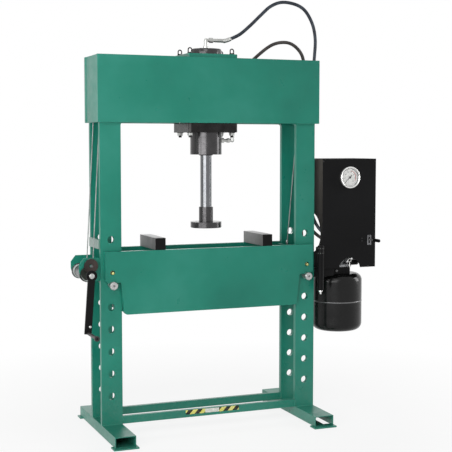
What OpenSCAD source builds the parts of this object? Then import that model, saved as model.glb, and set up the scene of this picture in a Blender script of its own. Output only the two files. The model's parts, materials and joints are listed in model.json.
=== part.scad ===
// H-frame hydraulic shop press: welded frame, hanging ram, winch-lifted table, power unit on the right.

/* [Frame] */
// Width over the two columns
press_w = 1200; // [1180:5:1220]
// Width of a column bar
bar_w = 110; // [100:2:120]
// Thickness of the column bars and of the stretchers
bar_t = 25; // [20:1:28]
// Depth over the front and rear column bars
frame_d = 210; // [200:2:220]
// Radius of the pin holes
pin_hole_r = 18.5; // [18.3:0.1:20]
// Distance between pin holes
pin_pitch = 115; // [110:1:120]
// Height of the lowest pin hole
first_hole_z = 210; // [200:2:220]
// Number of pin holes in a bar
pin_rows = 8; // [6:1:9]
// Row of holes that the table rests on, counted from the bottom
table_row = 6; // [5:1:6]
// Height of a stretcher
stretcher_h = 40; // [30:2:60]

/* [Feet] */
// Length of a foot tube
foot_l = 694; // [600:10:760]
// Width of a foot tube
foot_w = 108; // [104:1:114]
// Height of a foot tube
foot_h = 50; // [46:1:54]
// Wall of a foot tube
foot_wall = 7; // [4:0.5:9]
// Length of a foot pad
pad_l = 60; // [50:2:80]
// Width of a foot pad
pad_w = 130; // [120:2:140]
// Thickness of a foot pad
pad_t = 12; // [10:1:15]
// How far a pad reaches past the tube's end
pad_reach = 20; // [10:1:25]

/* [Head beam] */
// Width of the beam's plates
beam_w = 1230; // [1226:2:1240]
// Height of the beam
beam_h = 338; // [320:2:350]
// Height of the beam's underside
beam_z = 1607; // [1600:1:1620]
// Thickness of the beam's plates
beam_t = 25; // [20:1:30]
// Thickness of the beam's end plates
end_t = 12; // [8:1:12]

/* [Cylinder] */
// Sideways place of the cylinder's axis
ram_x = 9; // [0:1:18]
// Outer radius of the barrel
barrel_r = 83.5; // [80:0.5:84]
// Radius of the barrel's bore
bore_r = 65; // [60:0.5:68]
// Height of the barrel's lower end
barrel_z = 1443; // [1435:1:1450]
// Radius of the rod
rod_r = 30; // [26:0.5:34]
// Radius of the press disc
disc_r = 82.5; // [70:0.5:84]
// Radius of the sleeve on the rod's end
nose_r = 37.5; // [35:0.5:45]
// Height of the disc's lower face
disc_z = 1055; // [1048:1:1062]
// Width of the flange under the beam
flange_w = 254; // [250:1:262]
// Depth of the flange under the beam
flange_d = 250; // [240:1:256]
// Thickness of the flange
flange_t = 48; // [40:1:52]
// Width of the clamp plate on the beam
clamp_w = 272; // [262:1:280]
// Depth of the clamp plate on the beam
clamp_d = 220; // [216:1:230]
// Thickness of the clamp plate
clamp_t = 20; // [16:1:22]
// Radius of a clamp bolt
bolt_r = 8; // [6:0.5:9]

/* [Table] */
// How far the table's plates reach past their pins
ear_reach = 37; // [33:1:39]
// Thickness of a table plate
table_t = 25; // [20:1:28]
// Gap between a table plate and a column bar
table_gap = 2; // [1:0.5:3]
// Height of the table plates
table_h = 324.5; // [310:0.5:340]
// Height of the table's top above the pin's axis
table_over_pin = 171; // [165:1:177]
// Radius of a table pin
pin_r = 18; // [17:0.1:18.2]
// Width of a press block
block_w = 56; // [50:1:70]
// Height of a press block
block_h = 62; // [50:1:70]
// Sideways place of the left block's near side from the ram's axis
block_left = -327; // [-340:1:-320]
// Sideways place of the right block's near side from the ram's axis
block_right = 273; // [265:1:285]

/* [Winch] */
// Width of the winch's side plates
winch_w = 108; // [104:1:112]
// Radius of the wire rope
rope_r = 3; // [2.5:0.1:3.2]
// Radius of the drum's core
drum_r = 30; // [28:0.5:31]
// Tooth module of the brake gear pair
gear_module = 1.8; // [1.7:0.05:1.9]
// Teeth of the pinion
pinion_teeth = 10; // [10:1:11]
// Teeth of the brake gear
brake_teeth = 40; // [38:1:42]
// Crank radius
crank_l = 286; // [260:2:290]
// Length of the crank's grip
grip_l = 158; // [140:2:165]

/* [Pulleys] */
// Sideways place of the pulley axles
pulley_x = 553; // [550:0.5:556]
// Height of the pulley axles
pulley_z = 1700; // [1690:1:1710]
// Radius of the rope's centreline round a pulley
pulley_rope_r = 30; // [28:0.5:31]
// Distance of the ropes from the middle plane
rope_y = 60; // [58:0.5:62]

/* [Power unit] */
// Gap between the right column and the cover
unit_gap = 36; // [34:1:40]
// Width of the cover
unit_w = 331; // [325:1:340]
// Depth of the cover
unit_d = 260; // [256:2:270]
// Height of the cover
unit_h = 600; // [590:2:610]
// Height of the cover's lower edge
unit_z = 818; // [816:1:822]
// Thickness of the cover's sheet
sheet_t = 2; // [1.5:0.5:3]
// Radius of the hose hole in the cover's side
side_hole_r = 110; // [100:1:114]
// Radius of the tank
tank_r = 140; // [130:1:144]
// Height of the tank
tank_h = 320; // [260:5:340]
// Radius of the gauge's bezel
gauge_r = 59; // [50:1:70]
// Radius of a hose
hose_r = 9; // [8:0.5:9.5]

/* [Hidden] */

green = [0.2, 0.5, 0.42];
black = [0.1, 0.1, 0.1];
steel = [0.72, 0.73, 0.74];
dark_steel = [0.3, 0.29, 0.28];
rope_grey = [0.8, 0.84, 0.83];
$fn = 48;
eps = 0.01;

half_w = press_w / 2;
half_d = frame_d / 2;
bar_x = half_w - bar_w / 2;
pad_top = pad_t;
foot_top = pad_top + foot_h;
bar_drop = 10;
bar_in = half_w - bar_w;
bar_top = beam_z + beam_h - bar_drop;
beam_top = beam_z + beam_h;
pin_z = first_hole_z + pin_pitch * (table_row - 1);
hole_fit = 0.06;
rub = 0.3;

winch_out = half_w + winch_w;
unit_x0 = half_w + unit_gap;
unit_x1 = unit_x0 + unit_w;
origin_x = (unit_x1 - winch_out) / 2;
module at_origin() translate([-origin_x, 0, 0]) children();

// A box given by its two corners
module block(a, b) translate(a) cube(b - a);
// A cylinder along Y from y0 to y1, its axis at x and z
module along_y(x, z, r, y0, y1) translate([x, y1, z]) rotate([90, 0, 0]) cylinder(r = r, h = y1 - y0);
// A cylinder along X from x0 to x1, its axis at y and z
module along_x(y, z, r, x0, x1) translate([x0, y, z]) rotate([0, 90, 0]) cylinder(r = r, h = x1 - x0);
// A hexagon bar along Z, af across its flats
module hex_z(x, y, af, z0, z1) translate([x, y, z0]) cylinder(r = af / 2 / cos(30), h = z1 - z0, $fn = 6);
// A flat shape in X and Z given a thickness from y0 to y1
module plate_y(y0, y1) translate([0, y1, 0]) rotate([90, 0, 0]) linear_extrude(y1 - y0) children();
// Points of an arc
function arc(c, r, a0, a1, n) = [for (i = [0:n]) let (a = a0 + (a1 - a0) * i / n) c + r * [cos(a), sin(a)]];

// ---- Frame ----
module column_bar(side, face) color(green) difference() {
    block([min(side * half_w, side * bar_in), min(face * half_d, face * (half_d - bar_t)), foot_top],
        [max(side * half_w, side * bar_in), max(face * half_d, face * (half_d - bar_t)), bar_top]);
    for (i = [0:pin_rows - 1])
        along_y(side * bar_x, first_hole_z + i * pin_pitch, pin_hole_r, -half_d - 1, half_d + 1);
    along_y(side * pulley_x, pulley_z, axle_r, -half_d - 1, half_d + 1);
}
module beam_plate(face) color(green)
    block([-beam_w / 2, min(face * half_d, face * (half_d + beam_t)), beam_z],
        [beam_w / 2, max(face * half_d, face * (half_d + beam_t)), beam_top]);
end_land = 3;
end_out = beam_w / 2 - end_land;
end_in = end_out - end_t;
module beam_end_plates() color(green) for (side = [-1, 1])
    block([min(side * end_in, side * end_out), -half_d, beam_z],
        [max(side * end_in, side * end_out), half_d, beam_top]);
foot_x = half_w - foot_w / 2;
module feet() color(green) for (side = [-1, 1]) translate([side * foot_x, 0, pad_top]) difference() {
    translate([-foot_w / 2, -foot_l / 2, 0]) cube([foot_w, foot_l, foot_h]);
    translate([-foot_w / 2 + foot_wall, -foot_l / 2 - 1, foot_wall])
        cube([foot_w - 2 * foot_wall, foot_l + 2, foot_h - 2 * foot_wall]);
}
module foot_pads() color(green) for (side = [-1, 1], face = [-1, 1])
    translate([side * foot_x - pad_w / 2, face * (foot_l / 2 + pad_reach - pad_l / 2) - pad_l / 2, 0])
        cube([pad_w, pad_l, pad_t]);
module stretchers() color(green) for (face = [-1, 1])
    block([-bar_in, min(face * half_d, face * (half_d - bar_t)), foot_top],
        [bar_in, max(face * half_d, face * (half_d - bar_t)), foot_top + stretcher_h]);
tie_z = 968;
tie_h = 47;
tie_t = 8;
tie_inset = 15;
module left_tie_plate() color(green)
    block([-half_w - tie_t, tie_inset - half_d, tie_z], [-half_w, half_d - tie_inset, tie_z + tie_h]);

// ---- Cylinder and ram ----
barrel_over = 34;
barrel_top = beam_top + barrel_over;
cap_h = 23;
cap_top = barrel_top + cap_h;
cap_step = 0.5;
cap_spigot = 19;
gland_h = 60;
piston_h = 50;
gland_gap = 27;
piston_z = barrel_z + gland_h + gland_gap;
disc_t = 31;
nose_h = 79;
nose_z = disc_z + disc_t;
flange_z = beam_z - flange_t;
bolt_dx = 117;
bolt_y = 78;
clamp_z = beam_top;
port_over_gland = 14;
port_z = barrel_z + gland_h + port_over_gland;
port_r = 6;
spigot_r = 20;
spigot_h = 20;
bolt_gap = 0.5;
module at_ram() translate([ram_x, 0, 0]) children();
module cylinder_barrel() color(dark_steel) at_ram() difference() {
    translate([0, 0, barrel_z]) cylinder(r = barrel_r, h = barrel_top - barrel_z);
    translate([0, 0, barrel_z - 1]) cylinder(r = bore_r, h = barrel_top - barrel_z + 2);
    along_x(0, port_z, port_r, 0, barrel_r + 1);
}
module cylinder_cap() color(dark_steel) at_ram() difference() {
    union() {
        translate([0, 0, barrel_top]) cylinder(r = barrel_r - cap_step, h = cap_h);
        translate([0, 0, barrel_top - cap_spigot]) cylinder(r = bore_r, h = cap_spigot + 1);
    }
    translate([0, 0, barrel_top - cap_spigot - 1]) cylinder(r = port_r, h = cap_spigot + cap_h + 2);
}
module cylinder_gland() color(dark_steel) at_ram() difference() {
    translate([0, 0, barrel_z]) cylinder(r = bore_r, h = gland_h);
    translate([0, 0, barrel_z - 1]) cylinder(r = rod_r + hole_fit, h = gland_h + 2);
}
module chamfered(w, d, c) polygon([[-w / 2 + c, -d / 2], [w / 2 - c, -d / 2], [w / 2, -d / 2 + c],
    [w / 2, d / 2 - c], [w / 2 - c, d / 2], [-w / 2 + c, d / 2], [-w / 2, d / 2 - c], [-w / 2, -d / 2 + c]]);
module bolt_holes(z0, z1) for (dx = [-bolt_dx, bolt_dx], y = [-bolt_y, bolt_y])
    translate([dx, y, z0]) cylinder(r = bolt_r + bolt_gap, h = z1 - z0);
flange_chamfer = 18;
clamp_chamfer = 4;
module cylinder_flange() color(dark_steel) at_ram() difference() {
    translate([0, 0, flange_z]) linear_extrude(flange_t) chamfered(flange_w, flange_d, flange_chamfer);
    translate([0, 0, flange_z - 1]) cylinder(r = barrel_r, h = flange_t + 2);
    bolt_holes(flange_z - 1, beam_z + 1);
}
module clamp_plate() color(green) at_ram() difference() {
    translate([0, 0, clamp_z]) linear_extrude(clamp_t) chamfered(clamp_w, clamp_d, clamp_chamfer);
    translate([0, 0, clamp_z - 1]) cylinder(r = barrel_r, h = clamp_t + 2);
    bolt_holes(clamp_z - 1, clamp_z + clamp_t + 1);
}
nut_h = 16;
nut_af = 27;
bolt_tail = 10;
bolt_in_eye = 10;
bolt_low = flange_z - nut_h - bolt_tail;
module clamp_bolts() color(steel) at_ram() for (dx = [-bolt_dx, bolt_dx], y = [-bolt_y, bolt_y]) {
    translate([dx, y, bolt_low]) cylinder(r = bolt_r, h = clamp_z + clamp_t + bolt_in_eye - bolt_low);
    difference() {
        hex_z(dx, y, nut_af, flange_z - nut_h, flange_z);
        translate([dx, y, flange_z - nut_h - 1]) cylinder(r = bolt_r, h = nut_h + 2);
    }
}
eye_z = clamp_z + clamp_t;
eye_base_r = 14;
eye_base_h = 12;
eye_up = 24;
eye_ring_r = 19;
eye_wire_r = 6;
module eye_nut() difference() {
    union() {
        cylinder(r = eye_base_r, h = eye_base_h);
        translate([0, 0, eye_up]) rotate([0, 90, 0]) rotate_extrude()
            translate([eye_ring_r, 0]) circle(r = eye_wire_r);
    }
    translate([0, 0, -1]) cylinder(r = bolt_r, h = bolt_in_eye + 1);
}
module eye_nuts() color(dark_steel) at_ram() for (dx = [-bolt_dx, bolt_dx], y = [-bolt_y, bolt_y])
    translate([dx, y, eye_z]) eye_nut();
elbow_up = 42;
elbow_z = cap_top + elbow_up;
elbow_r = 10;
stem_r = 9;
adapter_r = 14;
adapter_h = 12;
elbow_nut_r = 13.5;
elbow_nut_x = 18;
elbow_nut_l = 22;
stem_l = 51;
upper_hose_x = 106;
lower_hose_x = 160;
lower_hose_up = 28;
nipple_r = 8;
port_nut_r = 13;
port_nut_l = 18;
swivel_nut_r = 12;
swivel_nut_x = 128;
swivel_nut_l = 16;
// A hexagon bar along X in the middle plane
module hex_x(x, z, r, l) translate([x, 0, z]) rotate([0, 90, 0]) cylinder(r = r, h = l, $fn = 6);
module hose_elbows() {
    color(steel) at_ram() union() {
        translate([0, 0, cap_top]) cylinder(r = adapter_r, h = adapter_h);
        translate([0, 0, cap_top]) cylinder(r = elbow_r, h = elbow_up);
        translate([0, 0, elbow_z]) sphere(r = elbow_r);
        along_x(0, elbow_z, stem_r, 0, stem_l);
        hex_x(elbow_nut_x, elbow_z, elbow_nut_r, elbow_nut_l);
        along_x(0, elbow_z, elbow_r, stem_l, upper_hose_x - ram_x);
    }
    color(steel) union() {
        along_x(0, port_z, nipple_r, ram_x + barrel_r, lower_hose_x);
        hex_x(ram_x + barrel_r, port_z, port_nut_r, port_nut_l);
        hex_x(swivel_nut_x, port_z, swivel_nut_r, swivel_nut_l);
        translate([lower_hose_x, 0, port_z]) sphere(r = elbow_r);
        translate([lower_hose_x, 0, port_z]) cylinder(r = elbow_r, h = lower_hose_up);
    }
}
module piston() color(steel) at_ram() difference() {
    translate([0, 0, piston_z]) cylinder(r = bore_r - hole_fit, h = piston_h);
    translate([0, 0, piston_z - 1]) cylinder(r = spigot_r, h = piston_h + 2);
}
module rod() color(steel) at_ram() union() {
    translate([0, 0, nose_z + spigot_h]) cylinder(r = rod_r, h = piston_z - nose_z - spigot_h);
    translate([0, 0, piston_z]) cylinder(r = spigot_r, h = piston_h);
    translate([0, 0, nose_z]) cylinder(r = spigot_r, h = spigot_h);
}
module press_nose() color(steel) at_ram() difference() {
    translate([0, 0, nose_z]) cylinder(r = nose_r, h = nose_h);
    translate([0, 0, nose_z - 1]) cylinder(r = spigot_r, h = spigot_h + 2);
    translate([0, 0, nose_z + spigot_h]) cylinder(r = rod_r, h = nose_h);
}
disc_chamfer = 2;
module press_disc() color(steel) at_ram() union() {
    translate([0, 0, disc_z + disc_chamfer]) cylinder(r = disc_r, h = disc_t - disc_chamfer);
    translate([0, 0, disc_z]) cylinder(r1 = disc_r - disc_chamfer, r2 = disc_r, h = disc_chamfer + eps);
}

// ---- Table ----
table_in = half_d + table_gap;
table_out = table_in + table_t;
table_top = pin_z + table_over_pin;
table_bottom = table_top - table_h;
table_end = bar_x + ear_reach;
ear_over_pin = 12;
ear_z = pin_z + ear_over_pin;
ear_chamfer = 15;
ear_root = bar_in + 13;
waist_drop = 75;
corner_r = 20;
toe_x = bar_in - 4;
table_side = [[table_end, table_top], [table_end, ear_z + ear_chamfer], [table_end - ear_chamfer, ear_z],
    [ear_root, ear_z], [bar_in + 10, pin_z], [bar_in + 2, pin_z - waist_drop]];
table_corner = arc([toe_x - corner_r, table_bottom + corner_r], corner_r, 0, -90, 6);
table_half = concat(table_side, table_corner);
table_outline = concat(table_half,
    [for (i = [len(table_half) - 1:-1:0]) [-table_half[i].x, table_half[i].y]]);
guide_up = 64;
guide_z = pin_z + guide_up;
screw_r = 5;
screw_head_r = 9;
screw_head_h = 8;
screw_key_r = 4.5;
screw_sink_r = 12;
screw_cover = 10;
table_floor = table_in + screw_cover;
screw_out = table_floor + screw_head_h;
module table_plate(face) color(green) difference() {
    plate_y(min(face * table_in, face * table_out), max(face * table_in, face * table_out))
        polygon(table_outline);
    for (side = [-1, 1]) {
        along_y(side * bar_x, pin_z, pin_r + rub, -table_out - 1, table_out + 1);
        along_y(side * bar_x, guide_z, screw_r, -table_out - 1, table_out + 1);
        along_y(side * bar_x, guide_z, screw_sink_r, min(face * table_floor, face * (table_out + 1)),
            max(face * table_floor, face * (table_out + 1)));
    }
}
cross_t = 12;
cross_in = 6;
cross_x = bar_in - cross_in;
cross_low = 12;
cross_high = 10;
lug_drop = 56;
lug_z = table_top - lug_drop;
lug_gap = 5;
lug_y = half_d - bar_t - lug_gap;
socket_drop = 16;
socket_z = table_top - socket_drop;
socket_r = 8;
rope_in = 24;
rope_x = bar_in + rope_in;
module table_cross_plates() color(green) for (side = [-1, 1]) {
    block([min(side * (cross_x - cross_t), side * cross_x), -table_in, table_bottom + cross_low],
        [max(side * (cross_x - cross_t), side * cross_x), table_in, table_top - cross_high]);
    block([min(side * cross_x, side * (rope_x + 2 * socket_r)), -lug_y, lug_z],
        [max(side * cross_x, side * (rope_x + 2 * socket_r)), lug_y, lug_z + cross_t]);
    translate([side * rope_x, side * rope_y, lug_z + cross_t])
        cylinder(r = socket_r, h = socket_z - lug_z - cross_t);
}
module guide_screws() color([0.8, 0.7, 0.25]) for (side = [-1, 1], face = [-1, 1]) {
    along_y(side * bar_x, guide_z, screw_r, min(face * (half_d + rub), face * table_floor),
        max(face * (half_d + rub), face * table_floor));
    difference() {
        along_y(side * bar_x, guide_z, screw_head_r, min(face * table_floor, face * screw_out),
            max(face * table_floor, face * screw_out));
        translate([side * bar_x, face * screw_out, guide_z]) rotate([90, 0, 0])
            cylinder(r = screw_key_r, h = screw_head_h, center = true, $fn = 6);
    }
}
module press_block(dx) color([0.35, 0.34, 0.33])
    block([ram_x + dx, -table_out, table_top], [ram_x + dx + block_w, table_out, table_top + block_h]);
pin_head = 28;
pin_front = table_out + pin_head;
pin_tail = 6;
pin_rear = table_out + pin_tail;
pin_chamfer = 3;
centre_r = 6;
centre_h = 4;
module table_pin(side) color(steel) difference() {
    union() {
        along_y(side * bar_x, pin_z, pin_r, pin_chamfer - pin_front, pin_rear);
        translate([side * bar_x, pin_chamfer - pin_front, pin_z]) rotate([90, 0, 0])
            cylinder(r1 = pin_r, r2 = pin_r - pin_chamfer, h = pin_chamfer);
    }
    translate([side * bar_x, -pin_front - eps, pin_z]) rotate([-90, 0, 0])
        cylinder(r1 = centre_r, r2 = 1, h = centre_h);
}

// ---- Winch ----
winch_z = 865;
winch_r = 59;
winch_y = 85;
winch_t = 5;
drum_out = 65;
drum_x = -half_w - drum_out;
drum_z = 843;
wound_r = drum_r + rope_r;
drum_half = 76;
drum_flange_t = 4;
drum_flange_h = 10;
shaft_r = 10;
nose_shaft_r = 6;
shaft_over = 12;
shaft_nose = 3;
gear_dist = gear_module * (pinion_teeth + brake_teeth) / 2;
gear_angle = 69.6;
addendum = 1.1;
pinion_pitch_r = gear_module * pinion_teeth / 2;
brake_pitch_r = gear_module * brake_teeth / 2;
brake_x = drum_x + gear_dist * cos(gear_angle);
brake_z = drum_z + gear_dist * sin(gear_angle);
pinion_dedendum = 1.7;
brake_dedendum = 1.6;
foot_share = 0.5;
pinion_tip_share = 0.2;
brake_tip_share = 0.25;
stud_r = 8;
stud_over = 3;
gear_y = -107;
gear_w = 14;
crank_t = 12;
crank_gap = 6;
crank_y = -pin_front - crank_gap - crank_t;
crank_lean = 4.2;
winch_top = winch_z + winch_r;
corner_in = 25;
corner_down = 32;
module winch_plate(face) difference() {
    plate_y(min(face * (winch_y - winch_t / 2), face * (winch_y + winch_t / 2)),
            max(face * (winch_y - winch_t / 2), face * (winch_y + winch_t / 2)))
        union() {
            intersection() {
                translate([-winch_out + winch_r, winch_z]) circle(r = winch_r);
                translate([-winch_out, winch_z - winch_r]) square([winch_r, 2 * winch_r]);
            }
            translate([-winch_out + winch_r, winch_z - winch_r]) square([winch_w - winch_r, 2 * winch_r]);
            polygon([[-winch_out + winch_r, winch_z], [-winch_out, winch_z], [-winch_out, winch_top - corner_down],
                [-winch_out + corner_in, winch_top], [-winch_out + winch_r, winch_top]]);
        }
    along_y(drum_x, drum_z, shaft_r + hole_fit, -winch_y - winch_t, winch_y + winch_t);
}
module winch_plates() color(green) {
    winch_plate(1);
    union() {
        winch_plate(-1);
        along_y(brake_x, brake_z, stud_r, gear_y - stud_over, -winch_y);
    }
}
module winch_shaft() color(steel) union() {
    along_y(drum_x, drum_z, shaft_r, gear_y + gear_w + 1, winch_y + shaft_over);
    along_y(drum_x, drum_z, nose_shaft_r, crank_y - shaft_nose, gear_y + gear_w + 2);
}
module winch_drum() color([0.5, 0.5, 0.48]) difference() {
    union() {
        along_y(drum_x, drum_z, drum_r, -drum_half, drum_half);
        for (y = [-drum_half - drum_flange_t, drum_half])
            along_y(drum_x, drum_z, drum_r + drum_flange_h, y, y + drum_flange_t);
    }
    along_y(drum_x, drum_z, shaft_r, -winch_y, winch_y);
}
turns = 7;
wound_in = 8;
rope_pitch = 2 * rope_r;
module wound_rope() color(rope_grey) for (face = [-1, 1])
    translate([drum_x, face * (rope_y - wound_in), drum_z]) rotate([face * 90, 0, 0]) rotate_extrude()
        difference() {
            union() {
                for (i = [0:turns - 1]) translate([wound_r, (i + 0.5) * rope_pitch]) circle(r = rope_r);
                translate([drum_r, 0]) square([rope_r, turns * rope_pitch]);
            }
            translate([0, -1]) square([drum_r, turns * rope_pitch + 2]);
        }
// A spur gear's outline with straight-sided teeth that leave some play
module gear_outline(teeth, root, tip, foot_share, tip_share) {
    step = 360 / teeth;
    polygon([for (i = [0:teeth - 1])
        for (p = [[-foot_share, root], [-tip_share, tip], [tip_share, tip], [foot_share, root]])
        p[1] * [cos(step * (i + p[0] / 2)), sin(step * (i + p[0] / 2))]]);
}
module shaft_pinion() color(dark_steel) plate_y(gear_y, gear_y + gear_w) difference() {
    translate([drum_x, drum_z]) rotate(gear_angle + 180 / pinion_teeth)
        gear_outline(pinion_teeth, pinion_pitch_r - pinion_dedendum, pinion_pitch_r + addendum,
            foot_share, pinion_tip_share);
    translate([drum_x, drum_z]) circle(r = nose_shaft_r);
}
module brake_gear() color(dark_steel) difference() {
    plate_y(gear_y, gear_y + gear_w) translate([brake_x, brake_z]) rotate(gear_angle)
        gear_outline(brake_teeth, brake_pitch_r - brake_dedendum, brake_pitch_r + addendum,
            foot_share, brake_tip_share);
    along_y(brake_x, brake_z, stud_r + hole_fit, gear_y - 1, gear_y + gear_w + 1);
}
function crank_point(d) = [drum_x - d * sin(crank_lean), drum_z - d * cos(crank_lean)];
crank_end = crank_point(crank_l);
spindle_r = 5;
knob_r = 13;
knob_l = 12;
grip_r = 8.5;
spindle_over = 2;
spindle_tip = crank_y - grip_l - knob_l - spindle_over;
crank_hub_r = 28;
crank_w = 36;
crank_over = 6;
module crank_arm() color(black) union() {
    difference() {
        plate_y(crank_y, crank_y + crank_t) union() {
            translate([drum_x, drum_z]) circle(r = crank_hub_r);
            translate([drum_x, drum_z]) rotate(-crank_lean) translate([-crank_w / 2, -crank_l - crank_over])
                square([crank_w, crank_l + crank_over]);
        }
        along_y(drum_x, drum_z, nose_shaft_r, crank_y - 1, crank_y + crank_t + 1);
    }
    along_y(crank_end.x, crank_end.y, spindle_r, spindle_tip, crank_y + 1);
}
module crank_grip() color([0.5, 0.46, 0.47]) difference() {
    union() {
        along_y(crank_end.x, crank_end.y, grip_r, crank_y - grip_l, crank_y - 1);
        along_y(crank_end.x, crank_end.y, knob_r, crank_y - grip_l - knob_l, crank_y - grip_l);
    }
    along_y(crank_end.x, crank_end.y, spindle_r + hole_fit, spindle_tip - 1, crank_y);
}

// ---- Ropes and pulleys ----
axle_r = 8;
pulley_w = 16;
groove_h = 5;
groove_w = 13;
bolt_back_y = bolt_y + bolt_r + rope_r + rub;
run_z = pulley_z + pulley_rope_r;
wrap_r = wound_r + rub;
// Direction of the rope that leaves the drum's inner side for the left pulley's outer side
lift = [-pulley_x - drum_x, pulley_z - drum_z];
lift_angle = atan2(lift.x, lift.y) - asin((wrap_r + pulley_rope_r) / norm(lift));
module rod_between(a, b, r) {
    d = b - a;
    translate(a) rotate([0, acos(d.z / norm(d)), atan2(d.y, d.x)]) cylinder(r = r, h = norm(d));
}
// Centreline of a rope round a pulley, from angle a0 to a1 as seen from the front
function bend(x, y, a0, a1, n) = [for (q = arc([x, pulley_z], pulley_rope_r, a0, a1, n)) [q.x, y, q.y]];
drum_off = [drum_x + wrap_r * cos(lift_angle), drum_z - wrap_r * sin(lift_angle)];
front_rope = concat([[drum_off.x, -rope_y, drum_off.y]], bend(-pulley_x, -rope_y, 180 - lift_angle, 0, 24));
rear_rope = concat([[drum_off.x, rope_y, drum_off.y]], bend(-pulley_x, rope_y, 180 - lift_angle, 90, 14),
    [for (side = [-1, 1]) [ram_x + side * bolt_dx, bolt_back_y, run_z]], bend(pulley_x, rope_y, 90, 0, 14));
module rope_runs() color(rope_grey) {
    swept(front_rope, rope_r);
    swept(rear_rope, rope_r);
}
module table_rope(side) color(rope_grey)
    rod_between([side * rope_x, side * rope_y, socket_z + rub],
        [side * pulley_x + pulley_rope_r, side * rope_y, pulley_z - rub], rope_r);
module pulley(x, y) color(steel) translate([x, y, pulley_z]) rotate([90, 0, 0]) difference() {
    cylinder(r = pulley_rope_r + groove_h, h = pulley_w, center = true);
    rotate_extrude() translate([pulley_rope_r, 0]) union() {
        circle(r = rope_r + rub);
        translate([0, -groove_w / 2]) square([groove_h + 1, groove_w]);
    }
    cylinder(r = axle_r + hole_fit, h = pulley_w + 2, center = true);
}
module left_pulleys() for (y = [-rope_y, rope_y]) pulley(-pulley_x, y);
module pulley_axles() color(steel) for (side = [-1, 1])
    along_y(side * pulley_x, pulley_z, axle_r, -half_d, half_d);

// ---- Power unit ----
unit_mid = unit_x0 + unit_w / 2;
unit_top = unit_z + unit_h;
unit_front = -unit_d / 2;
hole_up = 192;
hole_z = unit_z + hole_up;
arch_r = 66.7;
arch_drop = 12;
arch_z = unit_z - arch_drop;
arch_in = 5;
arch_x = unit_mid + arch_in;
gauge_drop = 102;
gauge_z = unit_top - gauge_drop;
lever_in = 39;
lever_x = unit_x1 - lever_in;
lever_up = 153;
lever_z = unit_z + lever_up;
slot_w = 16;
slot_h = 40;
module unit_cover() color(black) difference() {
    block([unit_x0, unit_front, unit_z], [unit_x1, -unit_front, unit_top]);
    block([unit_x0 + sheet_t, unit_front + sheet_t, unit_z - 1],
        [unit_x1 - sheet_t, -unit_front + 1, unit_top - sheet_t]);
    along_x(0, hole_z, side_hole_r, unit_x0 - 1, unit_x0 + sheet_t + 1);
    along_y(arch_x, arch_z, arch_r, unit_front - 1, unit_front + sheet_t + 1);
    along_y(unit_mid, gauge_z, gauge_case_r + 0.5, unit_front - 1, unit_front + sheet_t + 1);
    block([lever_x - slot_w / 2, unit_front - 1, lever_z - slot_h / 2],
        [lever_x + slot_w / 2, unit_front + sheet_t + 1, lever_z + slot_h / 2]);
}
carrier_y = 10;
manifold_drop = 41;
manifold_h = 38;
manifold_z = unit_z - manifold_drop;
manifold_top = manifold_z + manifold_h;
manifold_left = 78;
manifold_right = 38;
lid_r = 68;
lid_h = 6;
manifold_front = 85;
manifold_rear = half_d - 8;
upper_bracket_z = 1370;
bracket_h = 30;
bracket_in = 8;
shaft_hole_r = 12;
module unit_brackets() color(green) {
    block([half_w, half_d - bar_t, upper_bracket_z], [unit_x0, half_d, upper_bracket_z + bracket_h]);
    block([half_w, half_d - bar_t, manifold_z + bracket_in],
        [unit_mid - manifold_left, manifold_rear, manifold_top - bracket_in]);
}
module valve_block() color(black) difference() {
    union() {
        block([unit_mid - manifold_left, carrier_y - manifold_front, manifold_z],
            [unit_mid + manifold_right, manifold_rear, manifold_top]);
        translate([unit_mid, carrier_y, manifold_z]) cylinder(r = lid_r, h = lid_h);
    }
    translate([unit_mid, carrier_y, manifold_z - 1]) cylinder(r = shaft_hole_r, h = manifold_h + 2);
}
tank_round = 40;
tank_wall = 3;
tank_mouth_r = 60;
module tank_profile(r, h, c) {
    polygon(concat([[0, 0]], arc([r - c, c], c, -90, 0, 8), arc([r - c, h - c], c, 0, 90, 8), [[0, h]]));
}
tank_z = manifold_z - tank_h;
module tank() color(black) translate([unit_mid, carrier_y, tank_z]) difference() {
    rotate_extrude() tank_profile(tank_r, tank_h, tank_round);
    translate([0, 0, tank_wall]) rotate_extrude()
        tank_profile(tank_r - tank_wall, tank_h - 2 * tank_wall, tank_round - tank_wall);
    translate([0, 0, tank_h - tank_wall - 1]) cylinder(r = tank_mouth_r, h = tank_wall + 2);
}
motor_flange_r = 80;
motor_flange_h = 14;
motor_neck_r = 55;
motor_neck_h = 56;
motor_r = 75;
motor_h = 219;
motor_cowl_r = 68;
motor_cowl_h = 40;
motor_shaft_r = 9;
motor_shaft_l = 44;
module motor() color([0.55, 0.56, 0.57]) translate([unit_mid, carrier_y, manifold_top]) union() {
    cylinder(r = motor_flange_r, h = motor_flange_h);
    cylinder(r = motor_neck_r, h = motor_neck_h);
    translate([0, 0, motor_neck_h - 1]) cylinder(r = motor_r, h = motor_h + 1);
    translate([0, 0, motor_neck_h + motor_h - 1]) cylinder(r = motor_cowl_r, h = motor_cowl_h);
    translate([0, 0, -motor_shaft_l]) cylinder(r = motor_shaft_r, h = motor_shaft_l + 1);
}
pump_w = 70;
pump_d = 60;
pump_h = 90;
pipe_x = 20;
pipe_r = 9;
strainer_r = 28;
strainer_h = 60;
strainer_low = 280;
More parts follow.
